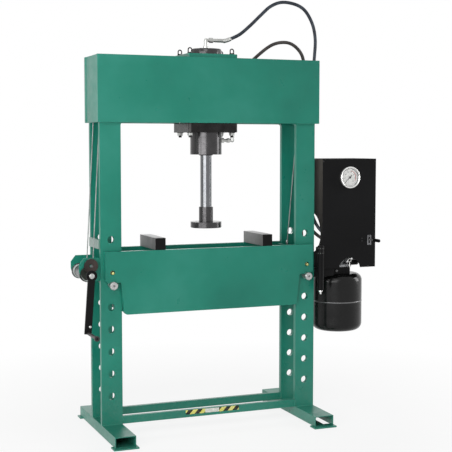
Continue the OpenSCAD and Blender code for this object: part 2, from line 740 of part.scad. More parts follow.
module pump() color(steel) translate([unit_mid, carrier_y, manifold_z]) union() {
    difference() {
        translate([-pump_w / 2, -pump_d / 2, -pump_h]) cube([pump_w, pump_d, pump_h]);
        translate([0, 0, -shaft_hole_r]) cylinder(r = shaft_hole_r, h = shaft_hole_r + 1);
    }
    translate([pipe_x, 0, strainer_h - strainer_low - 1])
        cylinder(r = pipe_r, h = strainer_low - strainer_h - pump_h + 2);
    translate([pipe_x, 0, -strainer_low]) cylinder(r = strainer_r, h = strainer_h);
}
valve_in = unit_front + sheet_t;
valve_left = 24;
valve_right = 30;
valve_d = 70;
valve_half = 34;
pocket_half = 7;
pocket_d = 34;
pocket_h = 52;
pivot_in = 16;
pivot_y = valve_in + pivot_in;
pivot_r = 3;
valve_port_r = 8;
valve_port_l = 16;
valve_port_y = valve_in + 32;
valve_port_up = 15;
module control_valve() color([0.5, 0.5, 0.5]) union() {
    difference() {
        block([lever_x - valve_left, valve_in, lever_z - valve_half],
            [lever_x + valve_right, valve_in + valve_d, lever_z + valve_half]);
        block([lever_x - pocket_half, valve_in - 1, lever_z - pocket_h / 2],
            [lever_x + pocket_half, valve_in + pocket_d, lever_z + pocket_h / 2]);
    }
    for (z = [-valve_port_up, valve_port_up])
        along_x(valve_port_y, lever_z + z, valve_port_r,
            lever_x - valve_left - valve_port_l, lever_x - valve_left);
    along_x(pivot_y, lever_z, pivot_r, lever_x - valve_left, lever_x + valve_right);
}
lever_reach = 108;
lever_tip = unit_front - lever_reach;
lever_r = 4;
lever_eye_r = 6.5;
lever_knob_r = 9;
lever_knob_l = 52;
module valve_lever() color(black) difference() {
    union() {
        along_y(lever_x, lever_z, lever_r, lever_tip, pivot_y - pivot_r - 1);
        along_x(pivot_y, lever_z, lever_eye_r, lever_x - pocket_half + 1, lever_x + pocket_half - 1);
        along_y(lever_x, lever_z, lever_knob_r, lever_tip, lever_tip + lever_knob_l);
    }
    along_x(pivot_y, lever_z, pivot_r + hole_fit, lever_x - pocket_half, lever_x + pocket_half);
}
gauge_case_r = 50;
bezel_h = 13;
bezel_w = 8;
dial_r = gauge_r - bezel_w;
case_back = 34;
module at_gauge(y) translate([unit_mid, y, gauge_z]) rotate([90, 0, 0]) children();
module gauge_case() color(steel) difference() {
    union() {
        at_gauge(unit_front) cylinder(r = gauge_r, h = bezel_h);
        at_gauge(unit_front + case_back) cylinder(r = gauge_case_r, h = case_back + 1);
    }
    at_gauge(unit_front - 2) cylinder(r = dial_r, h = bezel_h);
}
module gauge_dial() color("white") difference() {
    at_gauge(unit_front - 2) cylinder(r = dial_r - hole_fit, h = 1);
    at_gauge(unit_front - 1) cylinder(r = 2 + hole_fit, h = 4);
}
module gauge_glass() color([0.9, 0.95, 0.95, 0.3])
    at_gauge(unit_front - 10) cylinder(r = dial_r - hole_fit, h = 2);
pointer_rest = 225;
module gauge_pointer() color(black) union() {
    at_gauge(unit_front - 2.2) cylinder(r = 2, h = 4);
    at_gauge(unit_front - 4) cylinder(r = 5, h = 2);
    at_gauge(unit_front - 4) rotate(pointer_rest) translate([-12, -1.2, 0]) cube([56, 2.4, 1]);
}
filter_out = 18.7;
filter_x = unit_x0 - filter_out;
filter_front = 22;
filter_y = unit_front - filter_front;
filter_z = 690;
filter_h = 260;
filter_r = 18;
collar_r = 18.6;
collar_h = 50;
filter_tip_r = 4;
filter_tip_h = 14;
filter_end_r = 12;
strap_half = 8;
strap_z = 912;
strap_h = 28;
strap_in = 24;
module filter() color(black) union() {
    translate([filter_x, filter_y, filter_z]) cylinder(r = filter_r, h = filter_h - collar_h + 1);
    translate([filter_x, filter_y, filter_z + filter_h - collar_h]) cylinder(r = collar_r, h = collar_h);
    translate([filter_x, filter_y, filter_z]) sphere(r = filter_end_r);
    translate([filter_x, filter_y, filter_z - filter_tip_h]) cylinder(r = filter_tip_r, h = filter_tip_h);
    block([filter_x - strap_half, filter_y, strap_z], [unit_x0, unit_front + strap_in, strap_z + strap_h]);
}

// ---- Hoses: the points that each hose passes through ----
hose_upper_route = [[106, 0, 2044], [112, 0, 2044], [118, 0, 2044], [146, 0, 2054],
    [204, 0, 2082], [262, 0, 2129], [320, 0, 2183],
    [378, 0, 2234], [437, 0, 2260], [497, 0, 2261], [557, 0, 2245], [600, 0, 2211],
    [637, 0, 2145], [652, 0, 2068],
    [648, 0, 1981], [640, 0, 1880], [631, -4, 1760], [624, -10, 1640], [618, -18, 1500], [618, -22, 1300],
    [616, -30, 1160], [619, -55, 1095], [636, -85, 1042], [680, -96, 1002], [760, -96, 988], [840, -96, 986],
    [872, -96, 986], [880, -96, 986], [888, -96, 986]];
hose_lower_route = [[160, 0, 1545], [160, 0, 1551], [160, 0, 1557], [160, 0, 1600],
    [166, 0, 1700], [196, 0, 1820], [250, 0, 1915], [305, 0, 1970],
    [379, 0, 2025], [439, 0, 2046], [498, 0, 2044], [546, 0, 2015], [576, 0, 1970],
    [586, 0, 1900], [582, 0, 1800],
    [577, 0, 1650], [576, 0, 1450], [576, 0, 1250], [582, -4, 1130], [600, -20, 1062],
    [632, -48, 1010], [676, -80, 974],
    [740, -96, 958], [820, -96, 956], [872, -96, 956], [880, -96, 956], [888, -96, 956]];
hose_sides = 8;
steps = 2;
function spline(p0, p1, p2, p3, t) = 0.5 * (2 * p1 + (p2 - p0) * t + (2 * p0 - 5 * p1 + 4 * p2 - p3) * t * t
    + (3 * p1 - p0 - 3 * p2 + p3) * t * t * t);
function at_index(p, i) = p[max(0, min(len(p) - 1, i))];
function smooth(p) = concat([for (i = [0:len(p) - 2]) for (s = [0:steps - 1])
    spline(at_index(p, i - 1), p[i], p[i + 1], at_index(p, i + 2), s / steps)], [p[len(p) - 1]]);
function unit(v) = v / norm(v);
function ring(c, d, r) = let (a = unit(cross([0, 1, 0], d)), b = unit(cross(d, a)))
    [for (k = [0:hose_sides - 1]) c + r * (a * cos(360 * k / hose_sides) + b * sin(360 * k / hose_sides))];
module swept(p, r) {
    n = len(p);
    points = [for (i = [0:n - 1]) each ring(p[i], unit(at_index(p, i + 1) - at_index(p, i - 1)), r)];
    faces = concat([[for (k = [0:hose_sides - 1]) k]],
        [for (i = [0:n - 2], k = [0:hose_sides - 1]) let (q = (k + 1) % hose_sides)
            [i * hose_sides + k, (i + 1) * hose_sides + k, (i + 1) * hose_sides + q, i * hose_sides + q]],
        [[for (k = [hose_sides - 1:-1:0]) (n - 1) * hose_sides + k]]);
    polyhedron(points, faces);
}
module upper_hose() color(black) swept(smooth(hose_upper_route), hose_r);
module lower_hose() color([0.35, 0.32, 0.3]) swept(smooth(hose_lower_route), hose_r);

at_origin() column_bar(-1, -1);  // column_bar_left_front
at_origin() column_bar(-1, 1);  // column_bar_left_rear
at_origin() column_bar(1, -1);  // column_bar_right_front
at_origin() column_bar(1, 1);  // column_bar_right_rear
at_origin() beam_plate(-1);  // beam_front_plate
at_origin() beam_plate(1);  // beam_rear_plate
at_origin() beam_end_plates();
at_origin() feet();
at_origin() foot_pads();
at_origin() stretchers();
at_origin() left_tie_plate();
at_origin() cylinder_barrel();
at_origin() cylinder_cap();
at_origin() cylinder_flange();
at_origin() clamp_plate();
at_origin() clamp_bolts();
at_origin() eye_nuts();
at_origin() cylinder_gland();
at_origin() hose_elbows();
at_origin() piston();
at_origin() rod();
at_origin() press_nose();
at_origin() press_disc();
at_origin() table_plate(-1);  // table_front_plate
at_origin() table_plate(1);  // table_rear_plate
at_origin() table_cross_plates();
at_origin() guide_screws();
at_origin() press_block(block_left);  // press_block_left
at_origin() press_block(block_right);  // press_block_right
at_origin() table_pin(-1);  // pin_left
at_origin() table_pin(1);  // pin_right
at_origin() winch_plates();
at_origin() winch_shaft();
at_origin() winch_drum();
at_origin() wound_rope();
at_origin() shaft_pinion();
at_origin() brake_gear();
at_origin() crank_arm();
at_origin() crank_grip();
at_origin() rope_runs();
at_origin() table_rope(-1);  // table_rope_left
at_origin() table_rope(1);  // table_rope_right
at_origin() left_pulleys();
at_origin() pulley(pulley_x, rope_y);  // right_pulley
at_origin() pulley_axles();
at_origin() unit_cover();
at_origin() unit_brackets();
at_origin() motor();
at_origin() valve_block();
at_origin() tank();
at_origin() pump();
at_origin() control_valve();
at_origin() valve_lever();
at_origin() gauge_case();
at_origin() gauge_dial();
at_origin() gauge_glass();
at_origin() gauge_pointer();
at_origin() filter();
at_origin() upper_hose();  // hose_upper
at_origin() lower_hose();  // hose_lower
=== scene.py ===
import json
import math
import random

import bmesh
import bpy
from mathutils import Matrix, Vector


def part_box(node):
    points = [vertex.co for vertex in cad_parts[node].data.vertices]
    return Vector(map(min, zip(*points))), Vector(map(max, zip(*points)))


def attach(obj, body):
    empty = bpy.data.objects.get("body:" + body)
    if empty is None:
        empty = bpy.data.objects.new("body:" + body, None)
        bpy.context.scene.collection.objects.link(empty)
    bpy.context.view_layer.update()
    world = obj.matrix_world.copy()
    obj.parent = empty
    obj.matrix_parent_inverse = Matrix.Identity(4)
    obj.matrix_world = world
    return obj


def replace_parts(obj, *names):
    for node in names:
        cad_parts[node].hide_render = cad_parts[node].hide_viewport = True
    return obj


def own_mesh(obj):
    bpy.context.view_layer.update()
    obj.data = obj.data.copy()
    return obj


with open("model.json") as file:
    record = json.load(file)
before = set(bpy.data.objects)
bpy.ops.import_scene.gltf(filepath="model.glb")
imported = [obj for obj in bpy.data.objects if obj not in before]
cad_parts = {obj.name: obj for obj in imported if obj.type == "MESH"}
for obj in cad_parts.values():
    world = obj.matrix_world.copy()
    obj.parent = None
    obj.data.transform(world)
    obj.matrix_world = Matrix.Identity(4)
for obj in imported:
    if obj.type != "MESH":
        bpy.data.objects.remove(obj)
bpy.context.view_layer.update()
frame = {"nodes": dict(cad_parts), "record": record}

NODES = frame["nodes"]
FLOOR_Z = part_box("foot_pads")[0][2]


# -------- places on the press, in its own mm

# The row's origin lies this far to the right of the press's own middle plane
MIDDLE_X = 129.5
# Half the width and depth over the columns, and the faces of a bar that look to the middle
HALF_W, HALF_D, BAR_IN, BAR_BACK = 600, 105, 490, 80
FOOT_TOP, STRETCHER_TOP, BEAM_LOW, BEAM_TOP = 62, 102, 1607, 1945
# The ram's axis, and the clamp bolts about it
RAM_X, BOLT_DX, BOLT_DY = 9, 117, 78
BOLTS = [(RAM_X + sx * BOLT_DX, sy * BOLT_DY) for sx in (-1, 1) for sy in (-1, 1)]
DRUM_X, DRUM_Z = -665, 843
PULLEY_X, PULLEY_Z, PULLEY_R = 553, 1700, 30
# The table ropes, and the height at which their sockets hold them
ROPE_X, ROPE_Y, SOCKET_Z = 514, 60, 940
# The inner faces of the table's plates
TABLE_IN = 107
# The pins, and the guide screws above them
PIN_X, PIN_Z, GUIDE_Z = 545, 785, 849
COVER_FRONT = -130
TANK_X, TANK_Y = 801.5, 10
FRONT, UP, DOWN = (0, -1, 0), (0, 0, 1), (0, 0, -1)


def P(x, y, z):
    """A point in the press's own millimetres, in the row frame in metres."""
    return Vector(((x - MIDDLE_X) / 1000, y / 1000, z / 1000))


# -------- camera

CAMERA_DOWN, CAMERA_TURN = 4.331, -21.849
camera_data = bpy.data.cameras.new("camera")
camera_data.lens = 85.36
camera_data.sensor_width = 36
camera = bpy.data.objects.new("camera", camera_data)
camera.location = (-2.1449, -5.3358, 1.494)
camera.rotation_euler = (math.radians(90 - CAMERA_DOWN), 0, math.radians(CAMERA_TURN))
bpy.context.scene.collection.objects.link(camera)
bpy.context.scene.camera = camera
bpy.context.scene.view_settings.view_transform = "Standard"


# -------- materials

def srgb(r, g, b):
    """A colour given as sRGB bytes, in linear RGBA."""
    shares = [c / 255 for c in (r, g, b)]
    return tuple(c / 12.92 if c <= 0.04045 else ((c + 0.055) / 1.055) ** 2.4 for c in shares) + (1,)


class Graph:
    """A small helper for building one material's nodes."""

    def __init__(self, name):
        self.mat = bpy.data.materials.new(name)
        self.mat.use_nodes = True
        self.tree = self.mat.node_tree
        self.shader = self.tree.nodes["Principled BSDF"]
        self.coords = self.node("ShaderNodeTexCoord").outputs["Object"]

    def node(self, kind, **inputs):
        made = self.tree.nodes.new(kind)
        for key, value in inputs.items():
            self.put(made.inputs[key.replace("_", " ")], value)
        return made

    def put(self, socket, value):
        if isinstance(value, bpy.types.NodeSocket):
            self.tree.links.new(value, socket)
        else:
            socket.default_value = value

    def noise(self, scale, detail=3, rough=0.5, distortion=0):
        made = self.node("ShaderNodeTexNoise", Vector=self.coords, Scale=scale, Detail=detail,
                         Roughness=rough, Distortion=distortion)
        return made.outputs["Fac"]

    def ramp(self, fac, stops):
        made = self.node("ShaderNodeValToRGB", Fac=fac)
        elements = made.color_ramp.elements
        while len(elements) < len(stops):
            elements.new(0.5)
        for element, (place, colour) in zip(elements, stops):
            element.position = place
            element.color = colour
        return made.outputs["Color"]

    def grey(self, fac, low, high, start=0.3, end=0.7):
        """Maps fac from start and end to low and high."""
        limits = {"From_Min": start, "From_Max": end, "To_Min": low, "To_Max": high}
        return self.node("ShaderNodeMapRange", Value=fac, **limits).outputs[0]

    def mix(self, fac, a, b):
        made = self.tree.nodes.new("ShaderNodeMix")
        made.data_type = "RGBA"
        # Sockets 6 and 7 of this node are its two colours
        for place, value in ((0, fac), (6, a), (7, b)):
            self.put(made.inputs[place], value)
        return made.outputs[2]

    def math(self, operation, a, b=0.0):
        made = self.tree.nodes.new("ShaderNodeMath")
        made.operation = operation
        self.put(made.inputs[0], a)
        self.put(made.inputs[1], b)
        return made.outputs[0]

    def axis(self, name):
        return self.node("ShaderNodeSeparateXYZ", Vector=self.coords).outputs[name]

    def bump(self, height, distance, strength):
        made = self.node("ShaderNodeBump", Height=height, Distance=distance, Strength=strength)
        self.put(self.shader.inputs["Normal"], made.outputs[0])

    def set(self, **inputs):
        for key, value in inputs.items():
            self.put(self.shader.inputs[key.replace("_", " ")], value)
        return self


def paint(name, colour, darker, paler, rough=0.34, coat=0.08, peel=0.00012, dust=0.0, gloss=0.34,
          painted_side_light=None):
    """Sprayed enamel: clouds of tone, orange peel, rubbed and dusty patches. The last argument is a limit
    along
    X, left of which a paler tone is painted light on that side, and the two heights between which it grows."""
    g = Graph(name)
    tone = g.ramp(g.noise(2.1, 4, 0.55), [(0.28, darker), (0.5, colour), (0.74, paler)])
    rubbed = g.grey(g.noise(38, 5, 0.65), 0.0, 0.22, 0.58, 0.8)
    tone = g.mix(rubbed, tone, paler)
    if dust:
        low = g.grey(g.axis("Z"), dust, 0.0, 0.0, 0.35)
        speck = g.math("MULTIPLY", low, g.grey(g.noise(90, 4, 0.7), 0.0, 1.0, 0.35, 0.75))
        tone = g.mix(speck, tone, srgb(120, 128, 118))
    # Painted light: left of the limit, and growing between the two heights, the tone turns a paler brown-grey
    # as if lit from the left
    if painted_side_light:
        limit, faint, full = painted_side_light
        pale_patch = g.math("MULTIPLY", g.grey(g.axis("X"), 0.9, 0.0, limit - 0.0005, limit + 0.0005),
                       g.grey(g.axis("Z"), 0.0, 1.0, faint, full))
        tone = g.mix(pale_patch, tone, srgb(84, 79, 75))
    g.set(Base_Color=tone, Roughness=g.grey(g.noise(14, 4, 0.6), rough - 0.07, rough + 0.1),
          Coat_Weight=coat, Coat_Roughness=0.12, Specular_IOR_Level=gloss)
    g.bump(g.noise(420, 2, 0.5), peel, 0.5)
    return g.mat


def rolled_bar():
    """Flat bar: grey sides and a top finished by grinding, both with painted shade toward the front and the
    top painted paler as a highlight, and blacked ends where the saw cut it."""
    g = Graph("rolled_bar")
    normal = g.node("ShaderNodeNewGeometry").outputs["Normal"]
    facing = g.node("ShaderNodeSeparateXYZ", Vector=normal)
    cut = g.grey(g.math("ABSOLUTE", facing.outputs["Y"]), 0.0, 1.0, 0.6, 0.85)
    # Painted shade: the sides and the top grow darker toward the front
    painted_light_toward_rear = g.grey(g.axis("Y"), 0.0, 1.0, -0.13, 0.1)
    mill = g.mix(painted_light_toward_rear, srgb(98, 97, 97), srgb(156, 155, 155))
    mill = g.mix(g.grey(g.noise(26, 4, 0.6), 0.0, 0.3), mill, srgb(84, 83, 82))
    # The top, finished by grinding, is painted paler than the sides, a painted highlight
    ground_top_and_highlight = g.mix(painted_light_toward_rear, srgb(150, 150, 150), srgb(226, 226, 226))
    mill = g.mix(g.grey(facing.outputs["Z"], 0.0, 1.0, 0.6, 0.85), mill, ground_top_and_highlight)
    g.set(Base_Color=g.mix(cut, mill, srgb(15, 15, 15)), Roughness=g.grey(g.noise(14, 4, 0.6), 0.44, 0.58),
          Specular_IOR_Level=g.grey(cut, 0.3, 0.12, 0.0, 1.0))
    g.bump(g.noise(420, 2, 0.5), 0.00006, 0.5)
    return g.mat


def steel(name, colour, darker, rough, metallic, spots=0.3):
    """Bare or plated metal with clouds of tone and a few stains."""
    g = Graph(name)
    tone = g.mix(g.grey(g.noise(16, 5, 0.6), 0.0, 1.0, 0.35, 0.7), darker, colour)
    stain = g.grey(g.noise(55, 6, 0.7, distortion=0.6), 0.0, spots, 0.56, 0.78)
    tone = g.mix(stain, tone, srgb(72, 66, 58))
    blurred = g.grey(g.noise(70, 4, 0.6), rough - 0.06, rough + 0.12)
    return g.set(Base_Color=tone, Roughness=blurred, Metallic=metallic).mat


def rubber(name, colour, paler, rough=0.5, weave=0.0):
    """A hose's cover: cloth-marked rubber with rubbed, dusty paler patches. Ink and seals have no weave."""
    g = Graph(name)
    pale_patch = g.grey(g.noise(24, 5, 0.6), 0.0, 1.0, 0.4, 0.75)
    g.set(Base_Color=g.mix(pale_patch, colour, paler),
          Roughness=g.grey(g.noise(60, 4), rough - 0.08, rough + 0.12), Specular_IOR_Level=0.3)
    if weave:
        g.bump(g.noise(700, 3, 0.7), weave, 0.6)
    return g.mat


def dial_material():
    g = Graph("printed_dial")
    tone = g.mix(g.grey(g.noise(30, 3), 0.0, 0.5), srgb(250, 250, 247), srgb(242, 242, 238))
    return g.set(Base_Color=tone, Roughness=0.5).mat


def glass_material():
    g = Graph("gauge_glass_clear")
    tone = g.mix(g.grey(g.noise(20, 2), 0.0, 0.4), srgb(250, 252, 252), srgb(242, 246, 246))
    return g.set(Base_Color=tone, Roughness=0.02, Alpha=0.06).mat


STRIPE_PITCH, STRIPE_SLANT = 0.054, 0.9


def tape_material():
    """Slanting yellow and black stripes, a little scuffed."""
    g = Graph("stripe_tape")
    slant = g.math("SUBTRACT", g.axis("X"), g.math("MULTIPLY", g.axis("Z"), STRIPE_SLANT))
    wave = g.math("SINE", g.math("MULTIPLY", slant, 2 * math.pi / STRIPE_PITCH))
    stripe = g.grey(wave, 0.0, 1.0, -0.05, 0.05)
    yellow = g.mix(g.grey(g.noise(40, 3), 0.0, 1.0), srgb(226, 218, 96), srgb(234, 230, 146))
    tone = g.mix(stripe, srgb(30, 30, 28), yellow)
    scuff = g.grey(g.noise(120, 5, 0.7), 0.0, 0.5, 0.55, 0.8)
    tone = g.mix(scuff, tone, srgb(190, 186, 160))
    return g.set(Base_Color=tone, Roughness=0.45, Specular_IOR_Level=0.3).mat


def label_material():
    g = Graph("bare_label_film")
    tone = g.mix(g.grey(g.noise(60, 4), 0.0, 1.0), srgb(214, 214, 204), srgb(232, 232, 226))
    return g.set(Base_Color=tone, Roughness=0.5).mat


BLACKS = (srgb(11, 11, 12), srgb(8, 8, 9), srgb(19, 19, 21))
MATERIALS = {
    "green_paint": paint("green_enamel", srgb(26, 128, 108), srgb(20, 116, 98), srgb(48, 140, 122), dust=0.3),
    # A paler, greyer copy of the green enamel: painted light on the left tie plate, which faces the left
    "pale_green": paint("painted_light_green_enamel", srgb(136, 158, 150), srgb(112, 142, 132), srgb(166, 178, 172),
                        0.34, 0.1),
    "black_paint": paint("black_enamel", *BLACKS, 0.5, 0.0, 0.0001, gloss=0.12),
    # The cover's left side takes a paler brown-grey as painted light
    "cover_black": paint("cover_enamel", *BLACKS, 0.5, 0.0, 0.0001, gloss=0.12,
                         painted_side_light=(0.5075, 0.92, 1.36)),
    "gloss_black": paint("tank_enamel", srgb(18, 18, 18), srgb(12, 12, 12), srgb(27, 27, 26), 0.2, 0.05,
                         0.00012, gloss=0.22),
    "cap_black": paint("cap_enamel", srgb(22, 22, 23), srgb(14, 14, 15), srgb(40, 40, 40), 0.22, 0.2,
                       0.00012, gloss=0.5),
    "bare_steel": steel("turned_steel", srgb(138, 139, 141), srgb(104, 104, 106), 0.3, 0.85),
    "dark_steel": steel("oiled_steel", srgb(48, 47, 47), srgb(30, 29, 29), 0.27, 0.85, spots=0.12),
    "barrel_steel": steel("turned_barrel", srgb(74, 73, 74), srgb(64, 63, 64), 0.2, 0.95, spots=0.03),
    "chrome_rod": steel("hard_chrome", srgb(116, 117, 119), srgb(106, 107, 110), 0.16, 0.95, spots=0.0),
    "zinc": steel("zinc_plate", srgb(206, 207, 205), srgb(172, 173, 170), 0.26, 0.85, spots=0.06),
    "yellow_zinc": steel("yellow_zinc_plate", srgb(236, 236, 166), srgb(222, 218, 130), 0.4, 0.1, spots=0.05),
    "wire_rope": steel("galvanised_strand", srgb(196, 202, 200), srgb(150, 156, 154), 0.42, 0.6),
    "grip_steel": steel("dull_steel", srgb(64, 60, 61), srgb(40, 37, 38), 0.36, 0.6),
    "motor_alu": steel("cast_aluminium", srgb(178, 180, 182), srgb(150, 152, 154), 0.45, 0.5, spots=0.15),
    "block_steel": rolled_bar(),
    "polished": steel("polished_steel", srgb(234, 234, 232), srgb(216, 216, 214), 0.14, 0.9, spots=0.02),
    "black_screw": steel("blackened_screw", srgb(56, 56, 57), srgb(38, 38, 39), 0.4, 0.6),
    "bright_pin": steel("ground_pin_steel", srgb(196, 197, 196), srgb(170, 171, 170), 0.24, 0.7, spots=0.03),
    "pin_face": steel("sawn_pin_face", srgb(120, 120, 121), srgb(100, 100, 101), 0.36, 0.8, spots=0.1),
    "drum_gear": steel("dull_gear", srgb(62, 66, 60), srgb(40, 46, 42), 0.4, 0.6, spots=0.35),
    "gear_brown": steel("browned_gear", srgb(74, 64, 60), srgb(48, 44, 42), 0.4, 0.7, spots=0.3),
    "hose_black": rubber("hose_cover_blue_black", srgb(38, 43, 52), srgb(74, 82, 92), weave=0.0004),
    "hose_grey": rubber("hose_cover_grey", srgb(62, 58, 57), srgb(90, 84, 81), weave=0.0004),
    "seal": rubber("seal_rubber", srgb(26, 26, 27), srgb(46, 46, 47), 0.55),
    "print_black": rubber("printing_ink", srgb(20, 20, 21), srgb(34, 34, 35), 0.6),
    "print_red": rubber("red_printing_ink", srgb(196, 40, 34), srgb(208, 62, 52), 0.6),
    "dull_dot": rubber("pressed_dots", srgb(92, 92, 90), srgb(120, 120, 117), 0.5),
    "dial_white": dial_material(),
    "glass": glass_material(),
    "tape": tape_material(),
    "label": label_material(),
}
# Nodes whose finish differs from the rest of their slot; for the cover and the left tie plate the difference
# is painted light
LOOKS = {"press_nose": "barrel_steel", "press_disc": "barrel_steel", "cylinder_gland": "barrel_steel",
         "cylinder_barrel": "barrel_steel", "unit_cover": "cover_black", "pin_left": "bright_pin",
         "pin_right": "bright_pin", "shaft_pinion": "gear_brown", "brake_gear": "gear_brown",
         "left_tie_plate": "pale_green"}

for part in frame["record"]["subparts"]:
    obj = NODES[part["node"]]
    obj.data.materials.clear()
    obj.data.materials.append(MATERIALS[LOOKS.get(part["node"], part["material_slot"])])


# -------- mesh helpers

def finish_mesh(name, bm, slot, body="frame", smooth=35, look=None):
    """A bmesh as a piece that rides a body. Its material is look's, or else the slot's."""
    bmesh.ops.recalc_face_normals(bm, faces=bm.faces)
    mesh = bpy.data.meshes.new(name)
    bm.to_mesh(mesh)
    bm.free()
    obj = bpy.data.objects.new(name, mesh)
    bpy.context.scene.collection.objects.link(obj)
    mesh.materials.append(MATERIALS[look or slot])
    mesh.shade_smooth()
    mesh.set_sharp_from_angle(angle=math.radians(smooth))
    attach(obj, body)
    return obj


def around(n):
    """n equal angles round a circle."""
    return [2 * math.pi * k / n for k in range(n)]


def axes_of(axis):
    """A direction, and two directions across it."""
    axis = Vector(axis).normalized()
    u = axis.orthogonal().normalized()
    return axis, u, axis.cross(u)


def swing(u, v, a):
    """The direction at angle a from u towards v."""
    return u * math.cos(a) + v * math.sin(a)


def sides_along(points):
    """Two side directions at each point, turned as little as possible from one to the next."""
    out = []
    side = None
    for i in range(len(points)):
        ahead = points[min(i + 1, len(points) - 1)] - points[max(i - 1, 0)]
        ahead.normalize()
        if side is None:
            side = ahead.orthogonal().normalized()
        side = (side - ahead * side.dot(ahead)).normalized()
        out.append((side, ahead.cross(side)))
    return out


def band(bm, one, two):
    """Faces between two closed lines of vertices."""
    n = len(one)
    for k in range(n):
        bm.faces.new((one[k], one[(k + 1) % n], two[(k + 1) % n], two[k]))


def hoop(bm, loops):
    """Faces from each closed line of vertices to the next, and from the last to the first."""
    for one, two in zip(loops, loops[1:] + loops[:1]):
        band(bm, one, two)


def skin(bm, rings):
    """Faces between rings of points, with a cap at each end."""
    made = [[bm.verts.new(v) for v in ring] for ring in rings]
    for one, two in zip(made, made[1:]):
        band(bm, one, two)
    bm.faces.new(list(reversed(made[0])))
    bm.faces.new(made[-1])


def tube(bm, points, radius, sides=12):
    """A round tube along points. radius may be a function of the point's number."""
    size = radius if callable(radius) else (lambda i: radius)
    skin(bm, [[point + swing(u, v, a) * size(i) for a in around(sides)]
              for i, (point, (u, v)) in enumerate(zip(points, sides_along(points)))])


def resample(points, step):
    """The same line with points step apart."""
    out = [points[0].copy()]
    left = step
    for a, b in zip(points, points[1:]):
        run = (b - a).length
        done = 0.0
        while run - done > left:
            done += left
            out.append(a.lerp(b, done / run))
            left = step
        left -= run - done
    if (out[-1] - points[-1]).length > step * 0.3:
        out.append(points[-1].copy())
    else:
        out[-1] = points[-1].copy()
    return out


def smooth_line(points, steps):
    """A Catmull-Rom line through the points, as part.scad draws its hoses."""
    out = []
    for i in range(len(points) - 1):
        p0, p1, p2, p3 = (points[max(0, min(len(points) - 1, i + k))] for k in (-1, 0, 1, 2))
        for s in range(steps):
            t = s / steps
            out.append(0.5 * (2 * p1 + (p2 - p0) * t + (2 * p0 - 5 * p1 + 4 * p2 - p3) * t * t
                              + (3 * p1 - p0 - 3 * p2 + p3) * t ** 3))
    return out + [points[-1]]


def lathe(bm, profile, centre, axis, sides=48):
    """A turned form: (radius, distance along axis) pairs, closed at both ends."""
    axis, u, v = axes_of(axis)
    skin(bm, [[Vector(centre) + axis * along + swing(u, v, a) * max(radius, 1e-5) for a in around(sides)]
              for radius, along in profile])


def closed_ring(bm, section, centre, axis, sides=64):
    """A turned ring whose section is a closed line of (radius, distance along axis)."""
    axis, u, v = axes_of(axis)
    hoop(bm, [[bm.verts.new(Vector(centre) + swing(u, v, a) * r + axis * h) for r, h in section]
              for a in around(sides)])


def ring_nut(bm, centre, axis, flats, low, high, bore):
    """A hexagon nut with a chamfered face and a hole."""
    axis, u, v = axes_of(axis)
    turn = 0.2
    chamfer = 0.1 * flats
    loops = []
    for a in around(24):
        within = a % (math.pi / 3) - math.pi / 6
        flat = flats / 2 / math.cos(within)
        out = swing(u, v, turn + a)
        top = min(flat, flats / 2 + chamfer * 0.15)
        drop = (flat - top) * 0.6
        section = [(bore, low), (flat, low), (flat, high - drop), (top * 0.985, high), (bore, high)]
        loops.append([bm.verts.new(Vector(centre) + out * s + axis * h) for s, h in section])
    hoop(bm, loops)


def slotted_plate(bm, x, z, y, thick, outer, inner):
    """A flat plate with rounded corners and a slot, lying on a surface that faces the front. outer and
    inner are half its sizes and half the slot's."""
    def outline(half_x, half_z, round_by):
        pts = []
        for qx, qz, start in ((1, 1, 0), (-1, 1, 90), (-1, -1, 180), (1, -1, 270)):
            for a in (math.radians(start + 18 * i) for i in range(6)):
                pts.append((qx * (half_x - round_by) + round_by * math.cos(a),
                            qz * (half_z - round_by) + round_by * math.sin(a)))
        return pts
    big, small = outline(*outer, 3.0), outline(*inner, 2.5)
    face = [(a * 0.985, b * 0.985) for a, b in big]
    hoop(bm, [[bm.verts.new(P(x + a, y - level, z + b)) for a, b in pts]
              for pts, level in ((big, 0), (big, thick * 0.7), (face, thick), (small, thick), (small, 0))])


def rounded_box(bm, low, high, round_by):
    """A cast box with rounded edges."""
    made = bmesh.ops.create_cube(bm, size=1, matrix=Matrix.Translation((low + high) / 2) @ Matrix.Diagonal(
        [abs(h - l) for l, h in zip(low, high)] + [1]))
    corners = set(made["verts"])
    edges = [e for e in bm.edges if e.verts[0] in corners]
    bmesh.ops.bevel(bm, geom=edges, offset=round_by, segments=4, affect="EDGES", profile=0.5)


# -------- hoses

